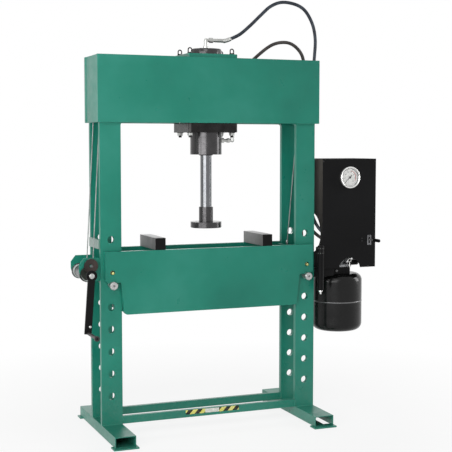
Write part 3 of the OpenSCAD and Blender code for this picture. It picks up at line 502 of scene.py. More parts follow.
HOSE_R = 0.009
FERRULE_STEPS = 24
UPPER_ROUTE = [P(*p) for p in (
    (106, 0, 2044), (112, 0, 2044), (118, 0, 2044), (146, 0, 2054), (204, 0, 2082), (262, 0, 2129),
    (320, 0, 2183), (378, 0, 2234), (437, 0, 2260), (497, 0, 2261), (557, 0, 2245), (600, 0, 2211),
    (637, 0, 2145), (652, 0, 2068), (648, 0, 1981), (640, 0, 1880), (631, -4, 1760), (624, -10, 1640),
    (618, -18, 1500), (618, -22, 1300), (616, -30, 1160), (619, -55, 1095), (636, -85, 1042),
    (680, -96, 1002), (760, -96, 988), (840, -96, 986), (872, -96, 986), (880, -96, 986), (888, -96, 986))]
LOWER_ROUTE = [P(*p) for p in (
    (160, 0, 1545), (160, 0, 1551), (160, 0, 1557), (160, 0, 1600), (166, 0, 1700), (196, 0, 1820),
    (250, 0, 1915), (305, 0, 1970), (379, 0, 2025), (439, 0, 2046), (498, 0, 2044), (546, 0, 2015),
    (576, 0, 1970), (586, 0, 1900), (582, 0, 1800), (577, 0, 1650), (576, 0, 1450), (576, 0, 1250),
    (582, -4, 1130), (600, -20, 1062), (632, -48, 1010), (676, -80, 974), (740, -96, 958),
    (820, -96, 956), (872, -96, 956), (880, -96, 956), (888, -96, 956))]


def ferrule_radius(i):
    """A ferrule's radius at its point number i: low at both ends, with a groove at every fourth point."""
    if i in (0, FERRULE_STEPS - 1):
        return HOSE_R + 0.0012
    return HOSE_R + (0.0026 - 0.0008 * (i % 4 == 2))


def hose(name, route, slot):
    """A braided hose with a pressed ferrule on each end."""
    line = smooth_line(route, 8)
    bm = bmesh.new()
    tube(bm, line, HOSE_R, 16)
    obj = finish_mesh(name, bm, slot, smooth=50)
    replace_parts(obj, name)
    for tag, way in (("start", line), ("end", line[::-1])):
        bm = bmesh.new()
        tube(bm, resample(way, 0.002)[:FERRULE_STEPS], ferrule_radius, 20)
        finish_mesh(f"{name}_ferrule_{tag}", bm, "zinc", smooth=25)


hose("hose_upper", UPPER_ROUTE, "hose_black")
hose("hose_lower", LOWER_ROUTE, "hose_grey")


# -------- wire ropes

ROPE_R = 0.003
ROPE_LAY = 0.024
LOBES = 6
# The share of the rope's radius at the three points of each lobe
LOBE = (1.0, 0.96, 0.74)


def wire_rope(bm, points):
    """A laid rope: a six-lobed section that turns once in each lay length."""
    line = resample(points, 0.0028)
    gone = 0.0
    rings = []
    for i, (point, (u, v)) in enumerate(zip(line, sides_along(line))):
        if i:
            gone += (line[i] - line[i - 1]).length
        turn = 2 * math.pi * gone / ROPE_LAY
        rings.append([point + swing(u, v, turn + a) * (ROPE_R * LOBE[k % len(LOBE)])
                      for k, a in enumerate(around(LOBES * len(LOBE)))])
    skin(bm, rings)


# The rope leaves the drum where a line touches both the wound rope and the left pulley
WRAP_R = 33.3
lift = (-PULLEY_X - DRUM_X, PULLEY_Z - DRUM_Z)
lift_angle = math.atan2(*lift) - math.asin((WRAP_R + PULLEY_R) / math.hypot(*lift))
off_x, off_z = DRUM_X + WRAP_R * math.cos(lift_angle), DRUM_Z - WRAP_R * math.sin(lift_angle)


def bend(x, y, a0, a1, n):
    """A rope's line round a pulley, from angle a0 to a1 as seen from the front."""
    angles = [a0 + (a1 - a0) * i / n for i in range(n + 1)]
    return [P(x + PULLEY_R * math.cos(a), y, PULLEY_Z + PULLEY_R * math.sin(a)) for a in angles]


front_line = [P(off_x, -ROPE_Y, off_z)] + bend(-PULLEY_X, -ROPE_Y, math.pi - lift_angle, 0, 24)
# The rear rope passes behind the clamp bolts on its way to the right pulley
BEHIND_BOLTS = 89.3
rear_line = [P(off_x, ROPE_Y, off_z)] + bend(-PULLEY_X, ROPE_Y, math.pi - lift_angle, math.pi / 2, 14)
rear_line += [P(x, BEHIND_BOLTS, PULLEY_Z + PULLEY_R) for x in (RAM_X - BOLT_DX, RAM_X + BOLT_DX)]
rear_line += bend(PULLEY_X, ROPE_Y, math.pi / 2, 0, 14)
bm = bmesh.new()
wire_rope(bm, front_line)
wire_rope(bm, rear_line)
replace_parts(finish_mesh("lifting_ropes", bm, "wire_rope", smooth=60), "rope_runs")

# A table rope hangs 760 mm at rest, and the winch lifts the table by 230 mm
for side, word in ((-1, "left"), (1, "right")):
    bm = bmesh.new()
    wire_rope(bm, [P(side * ROPE_X, side * ROPE_Y, SOCKET_Z),
                   P(side * PULLEY_X + PULLEY_R, side * ROPE_Y, PULLEY_Z)])
    obj = finish_mesh(f"hanging_rope_{word}", bm, "wire_rope", smooth=60)
    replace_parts(obj, f"table_rope_{word}")
    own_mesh(obj)

COIL_R, COIL_FROM, COIL_LONG, TURNS, TURN_STEPS = 33, 53.5, 39, 7, 40
bm = bmesh.new()
for face in (-1, 1):
    coil = []
    for i in range(TURNS * TURN_STEPS + 1):
        a = 2 * math.pi * i / TURN_STEPS
        y = face * (COIL_FROM + COIL_LONG * i / (TURNS * TURN_STEPS))
        coil.append(P(DRUM_X + COIL_R * math.cos(a), y, DRUM_Z + COIL_R * math.sin(a)))
    wire_rope(bm, coil)
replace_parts(finish_mesh("drum_rope", bm, "wire_rope", "drum", smooth=60), "wound_rope")


# -------- edges of the CAD nodes

# The bevel on each node's edges
EDGES = {
    0.0022: ("stretchers",),
    0.0016: ("column_bar_left_front", "column_bar_left_rear", "column_bar_right_front",
             "column_bar_right_rear", "beam_front_plate", "beam_rear_plate", "beam_end_plates", "clamp_plate",
             "table_front_plate", "table_rear_plate", "press_block_left", "press_block_right", "valve_block"),
    0.001: ("left_tie_plate", "table_cross_plates", "crank_arm", "unit_brackets", "control_valve", "pump"),
    0.0006: ("winch_plates", "unit_cover", "clamp_bolts", "shaft_pinion", "brake_gear"),
}


def soften(obj, width):
    """Rounds a node's sharp edges a little, so that they catch the light."""
    obj.modifiers.new("weld", "WELD").merge_threshold = 0.00001
    flat = obj.modifiers.new("flat", "DECIMATE")
    flat.decimate_type = "DISSOLVE"
    flat.angle_limit = math.radians(0.6)
    bevel = obj.modifiers.new("bevel", "BEVEL")
    bevel.width = width
    bevel.segments = 2
    bevel.limit_method = "ANGLE"
    bevel.angle_limit = math.radians(32)
    obj.modifiers.new("normals", "WEIGHTED_NORMAL").keep_sharp = True


for width, names in EDGES.items():
    for name in names:
        soften(NODES[name], width)


# -------- forms that stand for nodes of the source

def reach_along(ray, corners):
    """How far a ray from the middle runs to a convex outline."""
    reaches = []
    for (x0, y0), (x1, y1) in zip(corners, corners[1:] + corners[:1]):
        across = ray.x * (y1 - y0) - ray.y * (x1 - x0)
        if abs(across) > 1e-9:
            reaches.append((x0 * (y1 - y0) - y0 * (x1 - x0)) / across)
    return min(r for r in reaches if r > 0)


def bored_plate(bm, middle, corners, low, high, bore):
    """A flat plate with a round hole. corners is its outline about the middle."""
    angles = {round(math.atan2(y, x), 9) for x, y in corners} | {round(a - math.pi, 9) for a in around(96)}
    inner, outer = [], []
    for a in sorted(angles):
        ray = Vector((math.cos(a), math.sin(a)))
        for line, reach in ((inner, bore), (outer, reach_along(ray, corners))):
            line.append((middle[0] + ray.x * reach, middle[1] + ray.y * reach))
    levels = ((inner, low), (outer, low), (outer, high), (inner, high))
    hoop(bm, [[bm.verts.new(P(x, y, z)) for x, y in line] for line, z in levels])


def cut_corners(x0, x1, y0, y1, cut):
    """A rectangle with its four corners cut off."""
    return [(x0 + cut, y0), (x1 - cut, y0), (x1, y0 + cut), (x1, y1 - cut),
            (x1 - cut, y1), (x0 + cut, y1), (x0, y1 - cut), (x0, y0 + cut)]


FLANGE_LOW, BARREL_R = 1559, 83.5
bm = bmesh.new()
bored_plate(bm, (RAM_X, 0), cut_corners(-139, 132, -126, 126, 10), FLANGE_LOW, BEAM_LOW, BARREL_R)
flange = finish_mesh("cylinder_flange_plate", bm, "dark_steel")
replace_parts(flange, "cylinder_flange")
soften(flange, 0.0015)

CLAMP_TOP = 1965
EYE_R, EYE_UP, EYE_FOOT, EYE_WIRE = 10.5, 19, 5, 3.1
arc = [(-EYE_R * math.cos(math.pi * k / 20), EYE_UP + EYE_R * math.sin(math.pi * k / 20)) for k in range(21)]
bow = [(-EYE_R, EYE_FOOT)] + arc + [(EYE_R, EYE_FOOT)]
bm = bmesh.new()
for x, y in BOLTS:
    lathe(bm, [(0.0, 0.0), (0.0130, 0.0), (0.0134, 0.0008), (0.0134, 0.0056), (0.0118, 0.0074), (0.0, 0.008)],
          P(x, y, CLAMP_TOP), UP, 32)
    tube(bm, [P(x + u, y + 0.2 * u, CLAMP_TOP + v) for u, v in bow], EYE_WIRE / 1000, 14)
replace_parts(finish_mesh("lifting_eyes", bm, "dark_steel", smooth=50), "eye_nuts")

# The feet are tubes of thin plate. The right one's floor stops short of its right wall, as in the photo
PAD_TOP, FOOT_X, FOOT_HALF, FOOT_WALL, FOOT_LONG = 8, 546, 54, 4.5, 347
INNER, CEILING = FOOT_HALF - FOOT_WALL, FOOT_TOP - FOOT_WALL
bm = bmesh.new()
for x, floor_to in ((-FOOT_X, INNER - 0.05), (FOOT_X, 12)):
    section = [(-FOOT_HALF, PAD_TOP), (-FOOT_HALF, FOOT_TOP), (FOOT_HALF, FOOT_TOP), (FOOT_HALF, PAD_TOP),
               (INNER, PAD_TOP), (INNER, CEILING), (-INNER, CEILING), (-INNER, PAD_TOP + 2),
               (floor_to, PAD_TOP + 2), (floor_to, PAD_TOP)]
    skin(bm, [[P(x + across, y, z) for across, z in section] for y in (-FOOT_LONG, FOOT_LONG)])
channels = finish_mesh("foot_channels", bm, "green_paint")
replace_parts(channels, "feet")
soften(channels, 0.0014)
PAD_Y = 337
bm = bmesh.new()
for side in (-1, 1):
    for face in (-1, 1):
        skin(bm, [[P(side * FOOT_X + a, face * PAD_Y + b, z) for a, b in cut_corners(-65, 65, -30, 30, 2)]
                  for z in (0, PAD_TOP)])
plates = finish_mesh("foot_plates", bm, "green_paint")
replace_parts(plates, "foot_pads")
soften(plates, 0.0012)

bm = bmesh.new()
lathe(bm, [(0.0, 0.0), (0.0830, 0.0), (0.0830, 0.0295), (0.0812, 0.0345), (0.0795, 0.0360), (0.0600, 0.0360),
           (0.0590, 0.0350), (0.0300, 0.0350), (0.0290, 0.0360), (0.0165, 0.0360), (0.0160, 0.0420),
           (0.0, 0.0420)], P(RAM_X, 0, 1960), UP, 96)
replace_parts(finish_mesh("cap_plate", bm, "dark_steel", smooth=30, look="cap_black"),
            "cylinder_cap")


# -------- weld beads

def bead(bm, a, b, radius):
    """A weld bead from a to b, in the press's millimetres, with the ripples of its runs."""
    a, b = P(*a), P(*b)
    count = max(4, int((b - a).length / 0.0026))
    rng = random.Random(f"{a.x:.3f} {a.y:.3f} {a.z:.3f}")
    wobble = [rng.uniform(-0.08, 0.08) for _ in range(count + 1)]

    def size(i):
        taper = min(1.0, 0.4 + 0.3 * min(i, count - i))
        return radius / 1000 * taper * (1 + 0.14 * abs(math.sin(i * 1.15)) + wobble[i])

    tube(bm, [a.lerp(b, i / count) for i in range(count + 1)], size, 7)


END_PLATE_X = 612
PAD_WELD_X, PAD_WELD_IN, PAD_WELD_OUT = 52, 309, 345
WINCH_PLATE_Y, WINCH_LOW, WINCH_HIGH = 86, 812, 918
TIE_PLATE_Z = (1015, 968)
BRACKET_Z = (1370, 1400, 773, 807)
bm = bmesh.new()
for sx in (-1, 1):
    for sy in (-1, 1):
        for y in (HALF_D, BAR_BACK):
            bead(bm, (sx * HALF_W, sy * y, FOOT_TOP), (sx * BAR_IN, sy * y, FOOT_TOP), 3.6)
            bead(bm, (sx * BAR_IN, sy * y, FOOT_TOP + 3), (sx * BAR_IN, sy * y, STRETCHER_TOP - 1), 3.0)
        bead(bm, (sx * HALF_W, sy * HALF_D, BEAM_LOW), (sx * BAR_IN, sy * HALF_D, BEAM_LOW), 3.0)
        bead(bm, (sx * END_PLATE_X, sy * HALF_D, BEAM_LOW + 4),
             (sx * END_PLATE_X, sy * HALF_D, BEAM_TOP - 4), 2.4)
        for x in (FOOT_X + PAD_WELD_X, FOOT_X - PAD_WELD_X):
            bead(bm, (sx * x, sy * PAD_WELD_IN, PAD_TOP), (sx * x, sy * PAD_WELD_OUT, PAD_TOP), 1.8)
for sy in (-1, 1):
    bead(bm, (-HALF_W, sy * WINCH_PLATE_Y, WINCH_LOW), (-HALF_W, sy * WINCH_PLATE_Y, WINCH_HIGH), 2.4)
for z in TIE_PLATE_Z:
    bead(bm, (-HALF_W, -WINCH_PLATE_Y, z), (-HALF_W, WINCH_PLATE_Y, z), 2.2)
for z in BRACKET_Z:
    bead(bm, (HALF_W, BAR_BACK + 1, z), (HALF_W, HALF_D - 1, z), 2.2)
finish_mesh("frame_weld_beads", bm, "green_paint", smooth=60)

# The rounded inner corners where the bars run into the beam
CORNER_R = 14
quarter = [math.pi / 2 * k / 8 for k in range(9)]
corner = [(-0.5, -0.5)] + [(CORNER_R * (1 - math.sin(a)), CORNER_R * (1 - math.cos(a))) for a in quarter]
bm = bmesh.new()
for sx in (-1, 1):
    for reach in ((BAR_BACK, HALF_D), (-HALF_D, -BAR_BACK)):
        skin(bm, [[P(sx * (BAR_IN - x), y, BEAM_LOW - z) for x, z in corner] for y in reach])
finish_mesh("corner_welds", bm, "green_paint", smooth=40)

bm = bmesh.new()
for sx in (-1, 1):
    for sy in (-1, 1):
        for x in (484, 472):
            bead(bm, (sx * x, sy * (TABLE_IN - 1), 650), (sx * x, sy * (TABLE_IN - 1), 940), 2.8)
finish_mesh("table_weld_beads", bm, "green_paint", "table", smooth=60)


# -------- stripe tape on the front stretcher

TAPE_LOW, TAPE_MIDDLE, TAPE_HIGH = 77.5, 89, 100.5
TAPE_BACK, TAPE_FRONT = -104.9, -105.6
TAPE_LEFT, LABEL_LEFT, LABEL_RIGHT, TAPE_RIGHT = -146, -37, 42.5, 156
bm = bmesh.new()
for left, right in ((TAPE_LEFT, LABEL_LEFT), (LABEL_RIGHT, TAPE_RIGHT)):
    edge = [(left, TAPE_LOW), (right, TAPE_LOW), (right + 0.6, TAPE_MIDDLE), (right, TAPE_HIGH),
            (left, TAPE_HIGH), (left - 0.6, TAPE_MIDDLE)]
    skin(bm, [[P(x, y, z) for x, z in edge] for y in (TAPE_BACK, TAPE_FRONT)])
finish_mesh("stripe_tape", bm, "green_paint", look="tape")
bm = bmesh.new()
label = [(LABEL_LEFT + 0.4, 78), (LABEL_RIGHT - 0.4, 78), (LABEL_RIGHT, 79), (LABEL_RIGHT, 98.5),
         (LABEL_RIGHT - 0.4, 99.5), (LABEL_LEFT + 0.4, 99.5), (LABEL_LEFT, 98.5), (LABEL_LEFT, 79)]
skin(bm, [[P(x, y, z) for x, z in label] for y in (TAPE_BACK, TAPE_FRONT + 0.1)])
finish_mesh("bare_label", bm, "dial_white", look="label")


# -------- bolts, washers and the gland

bm = bmesh.new()
for x, y in BOLTS:
    lathe(bm, [(0.0085, 0), (0.0172, 0), (0.0178, 0.0006), (0.0178, 0.0022), (0.0172, 0.0028),
               (0.0085, 0.0028)], P(x, y, FLANGE_LOW - 0.1), DOWN, 32)
finish_mesh("bolt_washers", bm, "dark_steel", smooth=30)

THREAD_TOP, THREAD_PITCH = 1543, 0.0007
rows = []
for i in range(14):
    rows += [(0.0080, THREAD_PITCH * i), (0.0086, THREAD_PITCH * i + THREAD_PITCH / 2)]
bm = bmesh.new()
for x, y in BOLTS:
    lathe(bm, [(0.0, -0.0005)] + rows + [(0.0076, 0.0101), (0.0, 0.0101)], P(x, y, THREAD_TOP), DOWN, 24)
finish_mesh("bolt_threads", bm, "dark_steel", smooth=50)

GLAND_LOW, CAP_TOP = 1443, 1995.6
bm = bmesh.new()
lathe(bm, [(0.0302, 0.001), (0.0302, -0.0035), (0.0315, -0.0048), (0.0345, -0.0048), (0.0362, -0.003),
           (0.0362, 0.001)], P(RAM_X, 0, GLAND_LOW), UP, 64)
finish_mesh("rod_wiper", bm, "hose_black", smooth=35, look="seal")

bm = bmesh.new()
for a in (math.radians(30 + 60 * k) for k in range(6)):
    lathe(bm, [(0.0, 0.0), (0.0055, 0.0), (0.0062, -0.0006), (0.0062, 0.002), (0.0, 0.002)],
          P(RAM_X + 52 * math.cos(a), 52 * math.sin(a), GLAND_LOW), UP, 20)
finish_mesh("gland_plugs", bm, "dark_steel", smooth=30)

bm = bmesh.new()
for a in (math.radians(45 + 90 * k) for k in range(4)):
    lathe(bm, [(0.0, 0.0), (0.0, 0.0016), (0.0036, 0.0016), (0.0042, 0.0026), (0.0066, 0.0026),
               (0.007, 0.002), (0.007, 0.0)], P(RAM_X + 60 * math.cos(a), 60 * math.sin(a), CAP_TOP), UP, 24)
finish_mesh("cap_screws", bm, "bare_steel", smooth=30)


# -------- winch hardware

HUB = P(DRUM_X, -178, DRUM_Z)
bm = bmesh.new()
lathe(bm, [(0.0062, 0), (0.0128, 0), (0.0134, 0.0005), (0.0134, 0.0018), (0.0128, 0.0023), (0.0062, 0.0023)],
      HUB, FRONT, 36)
finish_mesh("hub_washer", bm, "zinc", "drum", smooth=30)
bm = bmesh.new()
ring_nut(bm, HUB, FRONT, 0.0185, 0.0022, 0.0112, 0.0061)
lathe(bm, [(0.0, 0.0), (0.0059, 0.0), (0.0059, 0.0135), (0.0048, 0.0148), (0.0, 0.0148)], HUB, FRONT, 24)
finish_mesh("hub_nut", bm, "zinc", "drum", smooth=30)
bm = bmesh.new()
lathe(bm, [(0.0, 0.0), (0.0066, 0.0), (0.0066, 0.0012), (0.0056, 0.0028), (0.0034, 0.004), (0.0, 0.0045)],
      P(-676, -178, 589), FRONT, 28)
finish_mesh("arm_rivet", bm, "zinc", "drum", smooth=30)
GEAR_STUD = P(-649.3, -110, 885.2)
bm = bmesh.new()
ring_nut(bm, GEAR_STUD, FRONT, 0.013, 0.0, 0.0065, 0.004)
lathe(bm, [(0.0, 0.0), (0.0039, 0.0), (0.0039, 0.0080), (0.003, 0.009), (0.0, 0.009)], GEAR_STUD, FRONT, 20)
finish_mesh("gear_nut", bm, "dark_steel", smooth=30, look="pin_face")

TEETH, GEAR_OUT, GEAR_IN = 34, 0.0405, 0.0372
gear = []
for k in range(TEETH):
    for part, r in ((-0.32, GEAR_IN), (-0.14, GEAR_OUT), (0.14, GEAR_OUT), (0.32, GEAR_IN)):
        a = 2 * math.pi * (k + part) / TEETH
        gear.append((r * math.cos(a), r * math.sin(a)))
bm = bmesh.new()
for reach, size in (((-92.6, -90.6), 1.0), ((-90.6, -88.4), 0.97)):
    skin(bm, [[P(DRUM_X, y, DRUM_Z) + Vector((x * size, 0, z * size)) for x, z in gear] for y in reach])
finish_mesh("drum_gear", bm, "dark_steel", "drum", smooth=30, look="drum_gear")

for side, word in ((-1, "left"), (1, "right")):
    bm = bmesh.new()
    lathe(bm, [(0.0, 0.0), (0.0200, 0.0), (0.0206, 0.001), (0.0206, 0.0250), (0.0178, 0.0282),
               (0.0150, 0.0282), (0.0146, 0.0270), (0.0, 0.0270)], P(side * PIN_X, -132.2, PIN_Z), FRONT, 48)
    finish_mesh(f"pin_head_{word}", bm, "bare_steel", f"{word}_pin", smooth=35,
                look="bright_pin")
    bm = bmesh.new()
    lathe(bm, [(0.0, 0.0), (0.0146, 0.0), (0.0146, 0.0006), (0.0050, 0.0008), (0.0044, 0.0014),
               (0.0022, 0.0014), (0.0016, 0.0), (0.0, 0.0)], P(side * PIN_X, -159.1, PIN_Z), FRONT, 36)
    finish_mesh(f"pin_face_{word}", bm, "bare_steel", f"{word}_pin", smooth=35,
                look="pin_face")

# Each guide screw sits low in a hole, and a black disc behind its head is painted shade for the hole's dark
for tag, slot, look, r, right, up, out in (("hole_shade", "black_paint", "print_black", 8.2, 0, 0, 132.35),
                                           ("heads", "yellow_zinc", "yellow_zinc", 6.2, 1.6, -2, 133.4)):
    profile = [(0.0, -0.002), (r / 1000, -0.002), (r / 1000, -0.0004), ((r - 0.5) / 1000, 0.0), (0.0, 0.0)]
    bm = bmesh.new()
    for side in (-1, 1):
        for face in (-1, 1):
            lathe(bm, profile, P(side * PIN_X + right, face * out, GUIDE_Z + up), (0, face, 0), 28)
    finish_mesh(f"guide_screw_{tag}", bm, slot, "table", smooth=30, look=look)

# A screw holds the rope's end on each end of the drum
bm = bmesh.new()
for face in (-1, 1):
    a = math.radians(205)
    ring_nut(bm, P(DRUM_X + 24 * math.cos(a), face * 79.8, DRUM_Z + 24 * math.sin(a)), (0, face, 0),
             0.010, 0.0, 0.006, 0.002)
finish_mesh("drum_rope_screws", bm, "zinc", "drum", smooth=30)


# -------- rope ends on the table

bm = bmesh.new()
for side in (-1, 1):
    lathe(bm, [(0.0032, 0.0), (0.0056, 0.0), (0.006, 0.001), (0.006, 0.019), (0.0048, 0.024),
               (0.0032, 0.026)], P(side * ROPE_X, side * ROPE_Y, SOCKET_Z + 0.5), UP, 24)
finish_mesh("rope_sleeves", bm, "zinc", "table", smooth=35)


# -------- gauge

GAUGE_X, GAUGE_Z = 801.5, 1316
bm = bmesh.new()
rim = [(0.0509, 0.0131), (0.0511, 0.0136), (0.0550, 0.0158), (0.0562, 0.0161), (0.0576, 0.0158),
       (0.0590, 0.0143), (0.0598, 0.0120), (0.0600, 0.0060), (0.0600, 0.0004), (0.0586, 0.0004),
       (0.0586, 0.0131)]
closed_ring(bm, rim, P(GAUGE_X, COVER_FRONT, GAUGE_Z), FRONT, 96)
finish_mesh("gauge_rim", bm, "bare_steel", smooth=40, look="polished")


def on_dial(radius, angle, height):
    """A point in front of the dial. angle runs clockwise from the top, seen from the front."""
    a = math.radians(angle)
    return P(GAUGE_X + radius * math.sin(a), COVER_FRONT - height, GAUGE_Z + radius * math.cos(a))


def dial_patch(bm, r0, r1, a0, a1, steps):
    """A thin printed patch between two radii and two angles."""
    back, front = 3.1, 3.25
    corners = ((r0, front), (r1, front), (r1, back), (r0, back))
    skin(bm, [[on_dial(r, a0 + (a1 - a0) * i / steps, height) for r, height in corners]
              for i in range(steps + 1)])


DIAL_START, DIAL_SWEEP, DIAL_MARKS, DIAL_STEP = -135, 270, 7, 100
bm = bmesh.new()
for i in range(DIAL_MARKS * 10 + 1):
    angle = DIAL_START + DIAL_SWEEP * i / (DIAL_MARKS * 10)
    reach, half = ((8.5, 0.75), (6.0, 0.5), (4.0, 0.35))[0 if i % 10 == 0 else 1 if i % 5 == 0 else 2]
    dial_patch(bm, 49 - reach, 49, angle - half, angle + half, 1)
dial_patch(bm, 48.8, 49.5, DIAL_START, DIAL_START + DIAL_SWEEP, 60)
finish_mesh("gauge_scale", bm, "black_paint", smooth=30, look="print_black")
bm = bmesh.new()
dial_patch(bm, 35.4, 38.0, 12, 120, 30)
finish_mesh("gauge_red_arc", bm, "dial_white", smooth=30, look="print_red")


def number(bm, text, size, angle, radius):
    """One generic number printed on the dial."""
    curve = bpy.data.curves.new("number", "FONT")
    curve.body = text
    curve.size = size / 1000
    curve.align_x = "CENTER"
    curve.align_y = "CENTER"
    curve.extrude = 0.0001
    curve.resolution_u = 3
    obj = bpy.data.objects.new("number", curve)
    bpy.context.scene.collection.objects.link(obj)
    bpy.context.view_layer.update()
    mesh = bpy.data.meshes.new_from_object(obj.evaluated_get(bpy.context.evaluated_depsgraph_get()))
    mesh.transform(Matrix.Translation(on_dial(radius, angle, 3.3)) @ Matrix.Rotation(math.pi / 2, 4, "X"))
    bm.from_mesh(mesh)
    bpy.data.objects.remove(obj)
    bpy.data.curves.remove(curve)
    bpy.data.meshes.remove(mesh)


bm = bmesh.new()
for i in range(DIAL_MARKS + 1):
    number(bm, str(i * DIAL_STEP), 6.2, DIAL_START + DIAL_SWEEP * i / DIAL_MARKS,
           31 if 0 < i < DIAL_MARKS else 29)
finish_mesh("gauge_numbers", bm, "black_paint", smooth=30, look="print_black")

bm = bmesh.new()
lathe(bm, [(0.0, 0.0), (0.0062, 0.0), (0.0064, 0.0006), (0.0058, 0.0018), (0.0, 0.0024)],
      on_dial(0, 0, 6.0), FRONT, 32)
lathe(bm, [(0.0, 0.0), (0.0029, 0.0), (0.0029, 0.0010), (0.0, 0.0012)], on_dial(13.5, 43, 5.6), FRONT, 24)
finish_mesh("pointer_hub", bm, "black_paint", "pointer", smooth=35, look="print_black")


# -------- lever plate and screws

LEVER_X, LEVER_Z, PLATE_Z, PLATE_T = 928, 971, 968, 1.6
bm = bmesh.new()
slotted_plate(bm, LEVER_X, PLATE_Z, COVER_FRONT, PLATE_T, (12.5, 28), (4.9, 17.5))
finish_mesh("lever_plate", bm, "bare_steel", smooth=30)
bm = bmesh.new()
for z in (PLATE_Z - 24.7, PLATE_Z + 24.7):
    lathe(bm, [(0.0, 0.0), (0.0026, 0.0), (0.0026, 0.0008), (0.0018, 0.0016), (0.0, 0.0018)],
          P(LEVER_X, COVER_FRONT - PLATE_T, z), FRONT, 20)
for x, z in ((883, 978), (883, 964)):
    lathe(bm, [(0.0, 0.0), (0.0034, 0.0), (0.0036, 0.0006), (0.003, 0.0015), (0.0, 0.0019)],
          P(x, COVER_FRONT, z), FRONT, 20)
for x, z in ((642, 1404), (961, 1404), (642, 832), (961, 832)):
    lathe(bm, [(0.0, 0.0), (0.0038, 0.0), (0.0040, 0.0006), (0.0034, 0.0015), (0.0, 0.002)],
          P(x, COVER_FRONT, z), FRONT, 20)
finish_mesh("cover_screws", bm, "black_paint", smooth=30, look="black_screw")
bm = bmesh.new()
lathe(bm, [(0.0041, 0.0), (0.0066, 0.0), (0.0072, 0.001), (0.0072, 0.005), (0.0056, 0.0075),
           (0.0041, 0.0075)], P(LEVER_X, -180, LEVER_Z), FRONT, 28)
lathe(bm, [(0.0041, 0.0), (0.0048, 0.0), (0.0048, 0.0440), (0.0041, 0.0440)],
      P(LEVER_X, -136, LEVER_Z), FRONT, 28)
finish_mesh("lever_collar", bm, "zinc", "lever", smooth=35)


# -------- tank, motor and fittings

# The seam ring takes pale steel in place of the tank's black enamel: a painted highlight along the seam
bm = bmesh.new()
closed_ring(bm, [(0.1392, -0.0035), (0.1402, -0.003), (0.1410, -0.0012), (0.1412, 0.0), (0.1410, 0.0012),
                 (0.1402, 0.003), (0.1392, 0.0035)], P(TANK_X, TANK_Y, 622), UP, 96)
finish_mesh("tank_seam", bm, "gloss_black", smooth=40, look="pin_face")

BREATHER = (833, -80)
bm = bmesh.new()
ring_nut(bm, P(*BREATHER, 815), UP, 0.017, 0.0, 0.007, 0.004)
lathe(bm, [(0.0, 0.0), (0.0042, 0.0), (0.0042, 0.0250), (0.0030, 0.0265), (0.0, 0.0265)],
      P(*BREATHER, 815), UP, 28)
closed_ring(bm, [(0.0102 + 0.0036 * math.cos(a), 0.0036 * math.sin(a)) for a in around(12)],
            P(*BREATHER, 855), FRONT, 32)
finish_mesh("tank_breather", bm, "bare_steel", smooth=35, look="polished")
BLOCK_SCREW = P(754, -75, 797)
bm = bmesh.new()
ring_nut(bm, BLOCK_SCREW, FRONT, 0.012, 0.0, 0.006, 0.003)
lathe(bm, [(0.0, 0.0), (0.0042, 0.0), (0.0042, 0.008), (0.0034, 0.009), (0.0, 0.009)], BLOCK_SCREW, FRONT, 24)
finish_mesh("valve_block_fittings", bm, "zinc", smooth=30, look="pin_face")

bm = bmesh.new()
rounded_box(bm, P(845, -74, 825), P(893, -30, 852), 0.007)
finish_mesh("motor_bracket", bm, "black_paint", smooth=40)
bm = bmesh.new()
rounded_box(bm, P(601, -100, 772), P(724, -62, 822), 0.004)
finish_mesh("tank_bracket", bm, "black_paint", smooth=40)

# The fins leave out the motor's rear, where its terminal box stands
FIN_ROOT, FIN_END, FIN_TOP, FIN_HALF = 0.0745, 0.0755, 0.0795, 0.0011
bm = bmesh.new()
for a in around(36):
    if math.sin(a) > 0.93:
        continue
    out = Vector((math.cos(a), math.sin(a), 0))
    side = Vector((-math.sin(a), math.cos(a), 0)) * FIN_HALF
    rings = []
    for z, reach in ((846, FIN_END), (858, FIN_TOP), (1056, FIN_TOP), (1068, FIN_END)):
        base = P(TANK_X, TANK_Y, z)
        rings.append([base + out * FIN_ROOT - side, base + out * reach - side * 0.6,
                      base + out * reach + side * 0.6, base + out * FIN_ROOT + side])
    skin(bm, rings)
finish_mesh("motor_fins", bm, "motor_alu", smooth=30)
bm = bmesh.new()
rounded_box(bm, P(761, 84, 925), P(842, 112, 1015), 0.006)
finish_mesh("motor_terminal_box", bm, "motor_alu", smooth=40)
bm = bmesh.new()
for x, z in ((768, 932), (835, 932), (768, 1008), (835, 1008)):
    lathe(bm, [(0.0, 0.0), (0.0035, 0.0), (0.0035, 0.0014), (0.0025, 0.0024), (0.0, 0.0026)],
          P(x, 111.8, z), (0, 1, 0), 16)
for a in (math.radians(45 + 90 * k) for k in range(4)):
    ring_nut(bm, P(TANK_X + 71 * math.cos(a), TANK_Y + 71 * math.sin(a), 829), UP, 0.010, 0.0, 0.0055, 0.002)
finish_mesh("motor_screws", bm, "zinc", smooth=30)


# -------- filter

